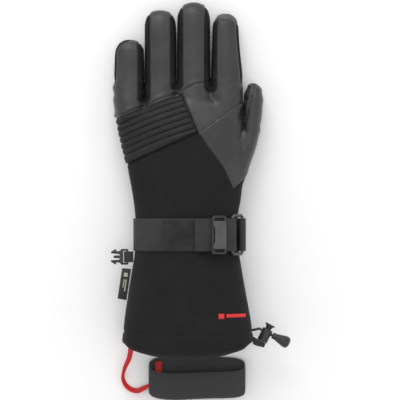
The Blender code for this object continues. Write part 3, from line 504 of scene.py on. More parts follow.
def dome(y, left, right, low, high, tip_x, tip_y):
    """Sections that round a finger off from its last full section to its tip."""
    rows = []
    for degrees in (15, 30, 44, 56, 66, 75, 82, 87):
        angle = math.radians(degrees)
        share, reach = math.cos(angle) ** 0.84, math.sin(angle)
        middle = (left + right) / 2 + (tip_x - (left + right) / 2) * reach
        half, tall = (right - left) / 2 * share, (high - low) / 2 * share
        rows.append((y + (tip_y - y) * reach, middle - half, middle + half,
                     (low + high) / 2 - tall, (low + high) / 2 + tall))
    return rows


def finger_rows(root_x, tip_x, root_width, tip_width, tip_y):
    """Sections of a finger from inside the hand to its rounded tip."""
    full_y = tip_y - tip_width * 0.52
    rows = []
    for y in np.arange(28.0, full_y, 4.0):
        share = smooth_step((y - 50) / (full_y - 50))
        width = root_width + (tip_width - root_width) * share - 4.0 * smooth_step((46 - y) / 18)
        middle = root_x + (tip_x - root_x) * share
        low, high = 2.0, 2.0 + FINGER_HEIGHT + 6.0 * smooth_step((72 - y) / 44)
        rows.append((y, middle - width / 2, middle + width / 2, low, high))
    half = tip_width / 2
    rows.append((full_y, tip_x - half, tip_x + half, 2.2, 27.2))
    return rows + dome(*rows[-1], tip_x, tip_y)


def apart(points, direction):
    """Moves points so that fingers stand apart (1), or back together (-1)."""
    def shift(x, y):
        total = np.zeros_like(x)
        for gap_x, crotch_y in GAPS:
            opening = SPREAD * smooth_step((y - crotch_y) / 7.0)
            total += opening * np.clip((x - gap_x) / 0.8, -0.5, 0.5)
        return total
    x, y = points[:, 0], points[:, 1]
    if direction > 0:
        moved = x + shift(x, y)
    else:
        low, high = x - 3 * SPREAD, x + 3 * SPREAD
        for _ in range(30):
            moved = (low + high) / 2
            beyond = moved + shift(moved, y) > x
            high = np.where(beyond, moved, high)
            low = np.where(beyond, low, moved)
    return np.column_stack([moved, points[:, 1:]])


def coordinates(mesh):
    """The mesh's points in millimetres."""
    values = np.empty(len(mesh.vertices) * 3, np.float32)
    mesh.vertices.foreach_get("co", values)
    return values.reshape(-1, 3).astype(float) / MM


def set_coordinates(mesh, points):
    """Moves the mesh's points to places given in millimetres."""
    mesh.vertices.foreach_set("co", (points * MM).astype(np.float32).ravel())
    mesh.update()


hand_rows = curve_through(HAND_STATIONS, np.concatenate([np.arange(HEM_Y - 12, 52, 3.0), (52, 54, 56, 58)]))
thumb_rows = curve_through(THUMB_STATIONS, np.arange(-42.0, 46.1, 4.0))
thumb_rows = [tuple(r) for r in thumb_rows] + dome(*THUMB_STATIONS[-1], *THUMB_TIP)
hand_points, hand_faces = loft(hand_rows, 2.45, HAND_SIDES)
hand_points = np.array(hand_points)
beyond = hand_points[:, 1] > 24
front = np.interp(hand_points[:, 0], (-65, -38.7, -9.4, 21.2, 46.0, 51.0), (35, 37, 48.5, 47, 38, 26))
hand_points[beyond, 1] = 24 + ((hand_points[:, 1] - 24) * (front - 24) / 34)[beyond]
parts = [(hand_points.tolist(), hand_faces), loft(thumb_rows, 2.3, FINGER_SIDES)]
parts += [loft(finger_rows(*sizes), 2.45, FINGER_SIDES) for sizes in FINGERS.values()]
form_points, form_faces = [], []
for points, faces in parts:
    start = len(form_points)
    form_points += [tuple(point) for point in points]
    form_faces += [tuple(start + k for k in face) for face in faces]
form = make_mesh("form", apart(np.array(form_points), 1), form_faces)
face_out(form.data)
joined = form.modifiers.new("joined", "REMESH")
joined.mode = "VOXEL"
joined.voxel_size = FORM_VOXEL * MM
rounded = form.modifiers.new("rounded", "SMOOTH")
rounded.iterations = FORM_SMOOTHING
apply_modifiers(form)
work = bmesh.new()
work.from_mesh(form.data)
work.normal_update()
for vertex in work.verts:
    vertex.co += vertex.normal * LOST_TO_ROUNDING * MM * min(1.0, max(0.0, vertex.co.y / MM / 30 + 0.6))
work.to_mesh(form.data)
work.free()


def swell(obj, held, pressure, most):
    """Puffs a sewn form by cloth pressure; its seams hold still, and no point moves further than most."""
    start = coordinates(obj.data)
    seams = obj.vertex_groups.new(name="seams")
    for level in range(1, 11):
        which = np.nonzero(np.round(held * 10) == level)[0].tolist()
        if which:
            seams.add(which, level / 10, "REPLACE")
    cloth = obj.modifiers.new("swell", "CLOTH")
    cloth.settings.use_pressure = True
    cloth.settings.uniform_pressure_force = pressure
    cloth.settings.effector_weights.gravity = 0
    cloth.settings.vertex_group_mass = "seams"
    cloth.point_cache.frame_start = 1
    cloth.point_cache.frame_end = SWELL_FRAMES
    for number in range(1, SWELL_FRAMES + 1):
        bpy.context.scene.frame_set(number)
    apply_modifiers(obj)
    bpy.context.scene.frame_set(1)
    obj.vertex_groups.clear()
    moved = coordinates(obj.data) - start
    length = np.linalg.norm(moved, axis=1)[:, None]
    set_coordinates(obj.data, start + moved * np.minimum(1, most / np.maximum(length, 1e-6)))


def hem_drop(x):
    """How far the cuff's edge hangs below its sides: deepest in the middle, rounded up at the corners."""
    sag = HEM_SAG * (1 - np.abs(2 * x / HEM_WIDTH).clip(0, 1) ** 2.5)
    return sag - 2.6 * smooth_step((np.abs(x) - 49) / 8)


x, y, z = coordinates(form.data).T
held = smooth_step((-58 - y) / 12)
for gap_x, crotch_y in GAPS:
    held = np.maximum(held, smooth_step(1.6 - np.hypot(x - gap_x, y - crotch_y) / 9))
held = np.maximum(held, 0.8 * smooth_step(1.4 - np.abs(z - 13) / 5))
swell(form, held, SWELL_PRESSURE, SWELL_MOST)
form_points = apart(coordinates(form.data), -1)
form_points[:, 2] = np.maximum(form_points[:, 2], 0.15)
set_coordinates(form.data, form_points)
work = bmesh.new()
work.from_mesh(form.data)
bmesh.ops.bisect_plane(work, geom=work.verts[:] + work.edges[:] + work.faces[:], dist=0.00001,
                       plane_co=(0, HEM_Y * MM, 0), plane_no=(0, 1, 0), clear_inner=True)
work.to_mesh(form.data)
work.free()
form_points = coordinates(form.data)
x, y, z = form_points.T
form_points[:, 1] -= hem_drop(x) * smooth_step((-91 - y) / (-91 - HEM_Y))
set_coordinates(form.data, form_points)
finer = form.modifiers.new("finer", "SUBSURF")
finer.levels = finer.render_levels = 1
apply_modifiers(form)


# The panels of the outer shell. Leather on the fingers, index, thumb and palm, matt softshell on the
# back and gauntlet, and a ribbed pad over the knuckles. They are cut along their seam lines, each panel
# is a closed sheet 1.5 mm thick, and every seam is drawn in by its stitching.
SHELL = 1.5
CUT_Y = {"little": 50.5, "ring": 62.0, "middle": 62.0, "index": 61.0}
LANES = {"little": (-90.0, -38.7), "ring": (-38.7, -9.4), "middle": (-9.4, 21.2), "index": (21.2, 50.9)}
JOINT_Y = {"little": 62.0, "ring": 75.0, "middle": 78.0, "index": 75.0}
FOURCHETTE = 4.7
FOURCHETTE_LINES = (((-38.7, 47.0), (-38.7, 160)), ((-9.4, 58.6), (-9.4, 160)), ((21.2, 57.2), (21.6, 160)))
PAD_OUTLINE = ((-75, 23.9), (-60.3, 29.4), (-4.7, 50.4), (9.9, 15.3), (-53.5, -12.6), (-75, -22))
SOFTSHELL_OUTLINE = ((-75, -300), (-75, -22), (-53.5, -12.6), (9.9, 15.3), (21.6, -0.5), (33.3, -16.2),
                     (42.3, -34.9), (54, -24.3), (80, -2), (80, -300))
FINGER_STRIP = ((-75, 24.6), (-60.3, 30.9), (-29.9, 43.2), (-6.9, 52.4), (6.8, 59.2), (18.3, 62.1),
                (26, 63.2))
BACK_OUTLINE = (*FINGER_STRIP, (26, 160), (-90, 160))
INDEX_OVERLAP = ((12.5, 15.4), (17.7, 19.1), (33, 30.6), (48.2, 40.9), (60, 48.6))
THUMB_SEAM = ((60.4, 64), (60.1, 58.7), (58.6, 50), (56.3, 41), (53.0, 28), (49.4, 14.5), (48.4, 9))
THUMB_CUT = Vector((50.4, 18.5))
THUMB_ALONG = Vector((0.45, 0.893))
PATCH_OUTLINE = ((-34, -28), (-29, -33), (24, -33), (31, -27), (34, -12), (34, 20), (29, 27), (-27, 27),
                 (-34, 19))
FINGER_SEAM_HEIGHT = 13
PATCH_BELOW = 9
CUFF_BELOW_Y = -150
SEAM_SIDES = (0.0, 0.9, -0.9)
FINE_SEAM_SIDES = (0.0, 0.8, -0.8)
WRIST_CUT_Y = -75.0
CHANNEL_Y_BELOW = 162.5
BINDING = 2.6
RIBS = 7
RIB_PITCH = 38.0 / RIBS
RIB_ALONG = np.array((0.936, 0.353))
RIB_ACROSS = np.array((0.353, -0.936))


def to_line(x, y, line):
    """Distance in plan from points to a line of points."""
    best = np.full(len(x), 1e9)
    for (ax, ay), (bx, by) in zip(line, line[1:]):
        dx, dy = bx - ax, by - ay
        t = (((x - ax) * dx + (y - ay) * dy) / (dx * dx + dy * dy)).clip(0, 1)
        best = np.minimum(best, np.hypot(x - ax - t * dx, y - ay - t * dy))
    return best


def within(x, y, outline):
    """Distance in plan to a closed outline, positive inside it."""
    closed = (*outline, outline[0])
    inside = np.zeros(len(x), bool)
    for (ax, ay), (bx, by) in zip(closed, closed[1:]):
        spans = (ay > y) != (by > y)
        if ay != by:
            inside ^= spans & (x < ax + (y - ay) * (bx - ax) / (by - ay))
    return to_line(x, y, closed) * np.where(inside, 1, -1)


def side_height(y):
    """Height of the side seam between back and palm."""
    return np.interp(y, (-190, -90, -45, 0, 40), (34, 25.5, 22, 17, 15))


def finger_inset(x, y, name):
    """How far a point lies in plan inside a finger's outline."""
    root_x, tip_x, root_width, tip_width, tip_y = FINGERS[name]
    full_y = tip_y - tip_width * 0.52
    share = smooth_step((y - 50) / (full_y - 50))
    half = (root_width + (tip_width - root_width) * share) / 2
    middle = root_x + (tip_x - root_x) * share
    rise = np.maximum(0, (y - full_y) / (tip_y - full_y))
    return (1 - np.hypot((x - middle) / half, rise)) * half


def fourchette_field(x, y):
    """Positive on the leather backs of the fingers, negative on the side strips round each gap."""
    gaps = np.min([to_line(x, y, line) for line in FOURCHETTE_LINES], axis=0) - FOURCHETTE
    little = np.where((x < -52) & (y > 60), finger_inset(x, y, "little") - 0.9, 9.0)
    index = np.where((x > 36) & (y > 60), finger_inset(x, y, "index") - 1.1, 9.0)
    return np.minimum(gaps, np.minimum(little, index))


def touch_field(x, y):
    """Positive on the touch cap at the tip of the index finger."""
    return np.where(x > 21.2, y - 116.9 + 0.138 * (x - 25.7) - 1.6 * (1 - ((x - 35) / 11) ** 2), -9.0)


def split_along(work, field, active):
    """Cuts the mesh along the zero line of a field, where both are given for every vertex."""
    work.verts.index_update()
    sign = (np.sign(field) * active).tolist()
    edges = [edge for edge in work.edges if sign[edge.verts[0].index] * sign[edge.verts[1].index] < 0]
    cuts = [(edge, edge.verts[0], field[edge.verts[0].index]
             / (field[edge.verts[0].index] - field[edge.verts[1].index])) for edge in edges]
    fresh = []
    for edge, first, share in cuts:
        fresh.append(bmesh.utils.edge_split(edge, first, min(max(share, 0.02), 0.98))[1])
    bmesh.ops.connect_verts(work, verts=fresh)


def plan(work):
    """The x, y and z of every vertex, in millimetres."""
    values = np.array([vertex.co for vertex in work.verts]) / MM
    return values[:, 0], values[:, 1], values[:, 2]


def in_fingers(x, y):
    """True past the fingers' cuts, in any finger's lane."""
    found = np.zeros(len(x), bool)
    for name, (left, right) in LANES.items():
        found |= (x > left) & (x < right) & (y > CUT_Y[name])
    return found


def past_thumb_cut(x, y):
    """How far a point lies past the thumb's cut, and whether it lies on the thumb's side of the hand."""
    return ((x - THUMB_CUT.x) * THUMB_ALONG.x + (y - THUMB_CUT.y) * THUMB_ALONG.y, x > 49.5)


def hem_height(x, y):
    """How far a point lies above the cuff's sagging edge."""
    return y - HEM_Y + hem_drop(x)


def channel_field(x, y):
    """Positive above the sewn line that closes the drawcord's channel."""
    return y + CHANNEL_Y_BELOW + 2.0 * (1 - (x / 58) ** 2)


def rib_place(x, y):
    """How far a point lies along and across the ribs of the knuckle pad, in millimetres."""
    along = (x + 60.3) * RIB_ALONG[0] + (y - 29.4) * RIB_ALONG[1]
    across = (x + 60.3) * RIB_ACROSS[0] + (y - 29.4) * RIB_ACROSS[1]
    return along, across + 1.3 * (1 - ((along - 28) / 36) ** 2) - 1.0


work = bmesh.new()
work.from_mesh(form.data)


def cut_shell(field, active):
    """Cuts the shell along a field's zero line, both given as functions of x, y and z."""
    here = plan(work)
    split_along(work, field(*here), active(*here))


def outside_thumb(x, y):
    """True away from the fingers and the thumb, where the side seam runs."""
    beyond, near = past_thumb_cut(x, y)
    return ~in_fingers(x, y) & ~(near & (beyond > 0.01))


cut_shell(lambda x, y, z: y - WRIST_CUT_Y, lambda x, y, z: np.ones(len(x), bool))
for name, (left, right) in LANES.items():
    cut_shell(lambda x, y, z: y - CUT_Y[name], lambda x, y, z: (x > left - 1) & (x < right + 1))
for gap_x, crotch_y in GAPS:
    cut_shell(lambda x, y, z: x - gap_x,
              lambda x, y, z: (y > crotch_y - 3) & (y < crotch_y + 12) & (np.abs(x - gap_x) < 4))
cut_shell(lambda x, y, z: past_thumb_cut(x, y)[0], lambda x, y, z: past_thumb_cut(x, y)[1] & (y < 60))
for offset in SEAM_SIDES:
    cut_shell(lambda x, y, z: z - side_height(y) - offset, lambda x, y, z: outside_thumb(x, y))
for outline in (PAD_OUTLINE, SOFTSHELL_OUTLINE, BACK_OUTLINE):
    for offset in SEAM_SIDES:
        cut_shell(lambda x, y, z: within(x, y, outline) - offset, lambda x, y, z: z > side_height(y) - 0.01)
for rib in range(1, RIBS):
    for offset in FINE_SEAM_SIDES:
        cut_shell(lambda x, y, z: rib_place(x, y)[1] - rib * RIB_PITCH - offset,
                  lambda x, y, z: (within(x, y, PAD_OUTLINE) > -0.3) & (z > side_height(y) - 0.01))
for offset in FINE_SEAM_SIDES:
    cut_shell(lambda x, y, z: fourchette_field(x, y) - offset,
              lambda x, y, z: (z > FINGER_SEAM_HEIGHT) & (y > 30))
    cut_shell(lambda x, y, z: touch_field(x, y) - offset, lambda x, y, z: (x > 21) & (y > 100))
cut_shell(lambda x, y, z: z - FINGER_SEAM_HEIGHT, lambda x, y, z: in_fingers(x, y))
for line in (INDEX_OVERLAP, THUMB_SEAM):
    for offset in (0.35, 1.2):
        cut_shell(lambda x, y, z: to_line(x, y, line) - offset,
                  lambda x, y, z: (z > 16) & (np.abs(y - 30) < 40))
cut_shell(lambda x, y, z: within(x, y, PATCH_OUTLINE), lambda x, y, z: z < PATCH_BELOW)
cut_shell(lambda x, y, z: channel_field(x, y), lambda x, y, z: y < CUFF_BELOW_Y)
cut_shell(lambda x, y, z: hem_height(x, y) - BINDING, lambda x, y, z: y < CUFF_BELOW_Y)
work.normal_update()
work.verts.index_update()
shell_points = np.array([vertex.co for vertex in work.verts]) / MM
shell_normals = np.array([vertex.normal for vertex in work.verts])
shell_faces = [[vertex.index for vertex in face.verts] for face in work.faces]
work.free()
form_mesh = form.data
bpy.data.objects.remove(form)
bpy.data.meshes.remove(form_mesh)


def seam(distance, wide, deep):
    """How far the leather is drawn in at a distance from a seam."""
    return -deep * np.exp(-(distance / wide) ** 2)


x, y, z = shell_points.T
upper = smooth_step((z - side_height(y)) / 1.5 + 0.5)
in_finger = in_fingers(x, y)
beyond, near = past_thumb_cut(x, y)
in_thumb = near & (beyond > 0)
body = ~in_finger & ~in_thumb
rise = np.where(body, seam(z - side_height(y), 0.9, 0.7), 0.0)
pad = within(x, y, PAD_OUTLINE)
softshell = within(x, y, SOFTSHELL_OUTLINE)
back = within(x, y, BACK_OUTLINE)
along, across = rib_place(x, y)
phase = across / RIB_PITCH
rib = np.sqrt(np.maximum(0, 1 - (2 * np.abs(phase - np.round(phase - 0.5) - 0.5)) ** 2.4))
on_top = smooth_step((z - side_height(y) - 1) / 9)
rise += upper * np.where(pad > 0, 1.9 * rib * smooth_step(pad / 1.5) * (0.25 + 0.75 * on_top) - 0.3, 0)
rise += upper * (seam(pad, 0.9, 0.8) + seam(softshell, 0.9, 0.8)
                 + 0.5 * np.exp(-((softshell + 2.5) / 1.8) ** 2))
strip = to_line(x, y, FINGER_STRIP)
rise += upper * (seam(strip, 0.8, 0.7) + 0.7 * np.exp(-((strip - 1.9) / 1.1) ** 2) * (back > 0))
field = fourchette_field(x, y)
top = smooth_step((z - 13) / 3) * smooth_step((y - 30) / 8)
rise += top * (seam(field, 0.8, 0.9) + 0.45 * np.exp(-((field - 1.9) / 1.2) ** 2))
touch = touch_field(x, y)
rise += np.where((x > 21) & (y > 100), seam(touch, 0.8, 0.7), 0)
rise += np.where(in_finger, seam(z - 13, 0.8, 0.5), 0)
hem = hem_height(x, y)
channel = channel_field(x, y)
wavy = 0.75 + 0.25 * np.sin(x / 5.3) * np.sin(x / 2.9 + 1)
rise += np.where(y < -150, seam(channel, 1.2, 0.8 * wavy) + 0.5 * smooth_step(-channel / 4)
                 * smooth_step(hem / 3), 0)
overlap = to_line(x, y, INDEX_OVERLAP)
below = (x - 17.7) * (40.9 - 19.1) - (y - 19.1) * (48.2 - 17.7) > 0
rise += smooth_step((z - 16) / 3) * np.where(below, 1.2 * np.exp(-(overlap / 6) ** 2) * (softshell < 0)
                                             - 0.3 * np.exp(-(overlap / 0.5) ** 2), seam(overlap, 0.9, 0.6))
rise += smooth_step((z - 16) / 3) * seam(to_line(x, y, THUMB_SEAM), 0.8, 0.9)
rise = np.where(z < 2.2, np.maximum(rise, -0.5), rise)
cut_points = shell_points.copy()
shell_points += shell_normals * rise[:, None]
shell_points[:, 2] = np.maximum(shell_points[:, 2], 0.1)
centres = np.array([cut_points[face].mean(axis=0) for face in shell_faces])
x, y, z = centres.T
above_seam = z > side_height(y)
owner = np.where(within(x, y, BACK_OUTLINE) > 0, "finger_back_panel", "index_back_panel").astype("<U24")
owner[within(x, y, SOFTSHELL_OUTLINE) > 0] = "hand_back_softshell"
owner[within(x, y, PAD_OUTLINE) > 0] = "knuckle_pad"
owner[~above_seam] = "palm_leather"
owner[y < WRIST_CUT_Y] = "gauntlet_back"
owner[(y < WRIST_CUT_Y) & ~above_seam] = "gauntlet_palm"
beyond, near = past_thumb_cut(x, y)
in_thumb = near & (beyond > 0) & (y < 80) & ~in_fingers(x, y)
owner[in_thumb] = "thumb_shell"
for name, (left, right) in LANES.items():
    owner[(x > left) & (x < right) & (y > CUT_Y[name])] = name + "_shell"
owner[(owner == "index_shell") & (touch_field(x, y) > 0)] = "index_touch_cap"
fourchette = (fourchette_field(x, y) < 0) & (z > 13) & (y > 36) & ~in_thumb


def sheet_from_shell(name, which, outer, inner, marks, *materials):
    """A closed sheet cut from the shell's faces between two depths; marks give each face its material."""
    faces = [shell_faces[k] for k in np.nonzero(which)[0]]
    used = np.unique(np.concatenate([np.array(face) for face in faces]))
    local = {old: new for new, old in enumerate(used.tolist())}
    faces = [[local[k] for k in face] for face in faces]
    count = len(used)
    outside = shell_points[used] - shell_normals[used] * outer
    inside = shell_points[used] - shell_normals[used] * inner
    directed = {(face[k - 1], face[k]) for face in faces for k in range(len(face))}
    rim = [(a, b) for a, b in directed if (b, a) not in directed]
    whole = faces + [[count + k for k in reversed(face)] for face in faces]
    whole += [[b, a, count + a, count + b] for a, b in rim]
    points = np.concatenate([outside, inside])
    points[:, 2] = np.maximum(points[:, 2], 0.1)
    made = make_mesh(name, points, whole, *materials)
    mesh = made.data
    mesh.shade_smooth()
    if marks is not None:
        index = np.zeros(len(whole), int)
        index[:len(faces)] = marks[np.nonzero(which)[0]].astype(int)
        mesh.polygons.foreach_set("material_index", index.tolist())
    rims = {frozenset(pair) for pair in rim} | {frozenset((count + a, count + b)) for a, b in rim}
    sharp = [frozenset(edge.vertices) in rims for edge in mesh.edges]
    mesh.edges.foreach_set("use_edge_sharp", sharp)
    keep_rest(mesh)
    return made


def leather(name, dark, light, worn, roughness):
    """Grained goatskin: small round cells with creases between them, and a soft uneven finish."""
    made, start = new_material(name)
    place = rest_place(start)
    cells = place.node("ShaderNodeTexVoronoi", {"Vector": place, "Scale": 950.0, "Randomness": 1.0},
                       feature="DISTANCE_TO_EDGE")
    cloudy = noise(place, 42.0, 4.0)
    fine = noise(place, 2600.0, 2.0)
    creases = cells.smooth(0.0, 0.22)
    patch = cloudy.smooth(0.35, 0.7)
    tone = (patch * 0.75 + creases * 0.25).mix(dark, light)
    colour = (noise(place, 150.0, 2.0).smooth(0.62, 0.8) * 0.35).mix(tone, worn)
    rough = roughness + 0.1 * cloudy - 0.06 * creases
    return finish_material(made, colour, rough, [(creases, 0.35, 0.00012), (fine, 0.12, 0.00008),
                                                 (noise(place, 190.0, 2.0), 0.18, 0.0004)])


def cloth(name, dark, light, roughness, thread, strength, sheen=0.0):
    """Fine woven or brushed cloth, its threads crossing at a small pitch."""
    made, start = new_material(name, sheen_weight=sheen, specular_ior_level=0.22)
    place = rest_place(start)
    wave = {"Vector": place, "Scale": thread, "Distortion": 0.6, "Detail": 1.0}
    across, along = (place.node("ShaderNodeTexWave", wave, wave_type="BANDS", bands_direction=way)
                     for way in ("X", "Y"))
    weave = across * along
    tone = (noise(place, 60.0, 4.0).smooth(0.3, 0.75) * 0.6 + weave * 0.4).mix(dark, light)
    rough = roughness + 0.08 * noise(place, 300.0, 2.0)
    fluff = noise(place, 1800.0)
    return finish_material(made, tone, rough, [(weave, strength, 0.00012), (fluff, 0.1, 0.0001)])


back_leather = leather("black_goatskin", (0.019, 0.019, 0.02), (0.033, 0.033, 0.034),
                       (0.048, 0.048, 0.049), 0.38)
palm_leather = leather("palm_goatskin", (0.016, 0.016, 0.017), (0.027, 0.027, 0.028),
                       (0.04, 0.04, 0.041), 0.5)
touch_leather = leather("touch_screen_leather", (0.045, 0.045, 0.047), (0.07, 0.07, 0.072),
                        (0.09, 0.09, 0.09), 0.42)
side_cloth = cloth("side_strip_cloth", (0.006, 0.006, 0.006), (0.013, 0.013, 0.014), 0.75, 420.0, 0.4)
softshell_cloth = cloth("softshell", (0.0085, 0.0085, 0.0088), (0.0125, 0.0125, 0.013), 0.85, 520.0, 0.22,
                        0.03)
pad_cloth = cloth("ribbed_pad_cloth", (0.012, 0.012, 0.0125), (0.02, 0.02, 0.021), 0.5, 480.0, 0.18)
JOINT_HEIGHT = 11.5
SOFT_REACH = 10
bends = {name: [Vector((FINGERS[name][0], JOINT_Y[name] + side, JOINT_HEIGHT))
                for side in (-SOFT_REACH, SOFT_REACH)] for name in LANES}
bends["thumb"] = [Vector((*(THUMB_CUT + THUMB_ALONG * reach), 14.9)) for reach in (0.5, 17)]


def fit(piece, stands_for, finger=None):
    """Puts a piece on the hand, or for a finger's piece bakes its place into its mesh, in place of its CAD
    nodes.
    """
    if finger:
        "thumb" if finger == "thumb" else finger + "_finger"
        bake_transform(piece)
    else:
        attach(piece, "hand")
    if stands_for:
        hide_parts(*stands_for)
    return piece


panels = {"gauntlet_back": (softshell_cloth, "softshell"), "gauntlet_palm": (softshell_cloth, "softshell"),
          "palm_leather": (palm_leather, "leather"), "hand_back_softshell": (softshell_cloth, "softshell"),
          "finger_back_panel": (back_leather, "leather"), "index_back_panel": (back_leather, "leather")}
for name, (material, slot) in panels.items():
    piece = sheet_from_shell(name + "_sewn", owner == name, 0.0, SHELL, fourchette, material, side_cloth)
    fit(piece, [name])
knuckle_pad = sheet_from_shell("knuckle_pad_sewn", owner == "knuckle_pad", 0.0, SHELL, None, pad_cloth)
fit(knuckle_pad, ["knuckle_pad"])
digits = (*LANES, "thumb")
in_digits = np.isin(owner, [name + "_shell" for name in digits])
marks = np.where(fourchette, 1, np.where((z < FINGER_SEAM_HEIGHT) & in_digits, 2, 0))
for name in digits:
    piece = sheet_from_shell(name + "_shell", owner == name + "_shell", 0.0, SHELL, marks,
                             back_leather, side_cloth, palm_leather)
    fit(piece, [name + "_shell_base", name + "_shell_tip"], name)
touch_cap = sheet_from_shell("touch_cap", owner == "index_touch_cap", 0.0, SHELL, None, touch_leather)
fit(touch_cap, ["index_touch_cap"], "index")


# The reinforcement on the palm, a second layer of goatskin laid over the heel of the hand and the
# fingers' roots, and the tape that binds the raw edge of the cuff.
x, y, z = centres.T
on_patch = (within(x, y, PATCH_OUTLINE) > 0) & (z < PATCH_BELOW)
fit(sheet_from_shell("palm_patch_sewn", on_patch, -0.9, -0.02, None, palm_leather), ["palm_patch"])
hem_tape = cloth("binding_tape", (0.012, 0.012, 0.012), (0.02, 0.02, 0.021), 0.7, 700.0, 0.4)
at_hem = (hem_height(x, y) < BINDING) & (y < CUFF_BELOW_Y)
fit(sheet_from_shell("cuff_binding", at_hem, -0.3, 4.6, None, hem_tape), ["hem_binding"])


# The layers inside the shell: wadding over the hand, a waterproof membrane under it, and a brushed
# fleece lining from the cuff to the fingertips. The fleece is all that shows, at the open cuff.
WADDING = (1.7, 2.9)
MEMBRANE = (3.0, 3.2)
FLEECE = (3.3, 4.5)
FINGER_FLEECE = (2.2, 3.3)
fleece = cloth("brushed_fleece", (0.02, 0.02, 0.021), (0.045, 0.045, 0.047), 0.95, 260.0, 0.15, 0.2)
wadding = cloth("wadding", (0.55, 0.55, 0.55), (0.7, 0.7, 0.7), 0.95, 90.0, 0.2)
membrane = cloth("membrane", (0.5, 0.5, 0.52), (0.6, 0.6, 0.62), 0.35, 900.0, 0.05)
hand_area = ~in_digits & (owner != "index_touch_cap")
cuff_area = np.isin(owner, ("gauntlet_back", "gauntlet_palm")) & (hem_height(x, y) > BINDING)
hand_only = hand_area & (y > WRIST_CUT_Y)


def inner_layer(name, which, depths, material, stands_for, finger=None, detail=0.3):
    """One layer inside the shell; it needs less detail than the outside."""
    piece = sheet_from_shell(name, which, *depths, None, material)
    thinner = piece.modifiers.new("thinner", "DECIMATE")
    thinner.ratio = detail
    apply_modifiers(piece)
    keep_rest(piece.data)
    return fit(piece, stands_for, finger)


inner_layer("cuff_fleece", cuff_area, FLEECE, fleece, ["gauntlet_lining"], detail=0.5)
inner_layer("hand_fleece", hand_only, FLEECE, fleece, ["hand_lining"])
inner_layer("hand_wadding", hand_only, WADDING, wadding, ["hand_insulation"])
inner_layer("hand_membrane_film", hand_only, MEMBRANE, membrane, ["hand_membrane"])
for name in digits:
    mine = owner == name + "_shell"
    if name == "index":
        mine = mine | (owner == "index_touch_cap")
    inner_layer(name + "_fleece", mine, FINGER_FLEECE, fleece, [name + "_lining_base", name + "_lining_tip"],
                finger=name)


# Stitching. Bonded nylon thread, sewn by machine along both sides of the finger seams, along the
# leather edges and round the palm patch; each stitch is a short capsule pressed into the leather.
STITCH_PITCH = 2.7
STITCH_LENGTH = 1.9
STITCH_LIFT = 0.1
THREAD = 0.42
thread_black, thread_start = new_material("bonded_thread", roughness=0.5)
thread_tone = noise(rest_place(thread_start), 900.0, 2.0).mix((0.02, 0.02, 0.02), (0.06, 0.06, 0.06))
finish_material(thread_black, thread_tone)
stitch_tree = bpy.data.node_groups.new("stitches", "GeometryNodeTree")
for title, kind in (("Seam", "NodeSocketGeometry"), ("Stitch length", "NodeSocketFloat"),
                    ("Thread width", "NodeSocketFloat"), ("Thread", "NodeSocketMaterial")):
    stitch_tree.interface.new_socket(title, in_out="INPUT", socket_type=kind)
stitch_tree.interface.new_socket("Stitches", in_out="OUTPUT", socket_type="NodeSocketGeometry")


def tree_node(tree, node_type, links=(), **settings):
    """A Geometry Nodes node with its settings, then its links or values by socket number or name."""
    made = tree.nodes.new(node_type)
    for name, value in settings.items():
        setattr(made, name, value)
    for name, value in dict(links).items():
        if isinstance(value, bpy.types.NodeSocket):
            tree.links.new(value, made.inputs[name])
        else:
            made.inputs[name].default_value = value
    return made


inside = tree_node(stitch_tree, "NodeGroupInput")
spots = tree_node(stitch_tree, "GeometryNodeMeshToPoints", {0: inside.outputs["Seam"]})
out_way = tree_node(stitch_tree, "GeometryNodeInputNamedAttribute", {0: "out"}, data_type="FLOAT_VECTOR")
along_way = tree_node(stitch_tree, "GeometryNodeInputNamedAttribute", {0: "along"}, data_type="FLOAT_VECTOR")
upright = tree_node(stitch_tree, "FunctionNodeAlignRotationToVector", {"Vector": out_way.outputs[0]},
                    axis="Z")
turned = tree_node(stitch_tree, "FunctionNodeAlignRotationToVector",
                   {"Rotation": upright.outputs[0], "Vector": along_way.outputs[0]}, axis="X", pivot_axis="Z")
capsule = tree_node(stitch_tree, "GeometryNodeMeshUVSphere", {"Segments": 6, "Rings": 4, "Radius": 0.5})
size = tree_node(stitch_tree, "ShaderNodeCombineXYZ", {
    0: inside.outputs["Stitch length"], 1: inside.outputs["Thread width"], 2: inside.outputs["Thread width"]})
placed = tree_node(stitch_tree, "GeometryNodeInstanceOnPoints", {
    "Points": spots.outputs[0], "Instance": capsule.outputs[0], "Rotation": turned.outputs[0],
    "Scale": size.outputs[0]})
real = tree_node(stitch_tree, "GeometryNodeRealizeInstances", {0: placed.outputs[0]})
coloured = tree_node(stitch_tree, "GeometryNodeSetMaterial", {0: real.outputs[0],
                                                              "Material": inside.outputs["Thread"]})
tree_node(stitch_tree, "NodeGroupOutput", {0: coloured.outputs[0]})
surface = BVHTree.FromPolygons(shell_points.tolist(), shell_faces)


def rounded_line(line, steps=2):
    """Cuts the corners of a line of points."""
    line = [np.array(point, float) for point in line]
    for _ in range(steps):
        inner = [p for a, b in zip(line, line[1:]) for p in (0.75 * a + 0.25 * b, 0.25 * a + 0.75 * b)]
        line = [line[0]] + inner[1:-1] + [line[-1]]
    return line


def beside(line, offset):
    """A line moved sideways in plan; positive is to its left."""
    line = rounded_line(line)
    moved = []
    for k, point in enumerate(line):
        way = line[min(k + 1, len(line) - 1)] - line[max(k - 1, 0)]
        way /= np.hypot(*way)
        moved.append(point + np.array((-way[1], way[0])) * offset)
    return moved


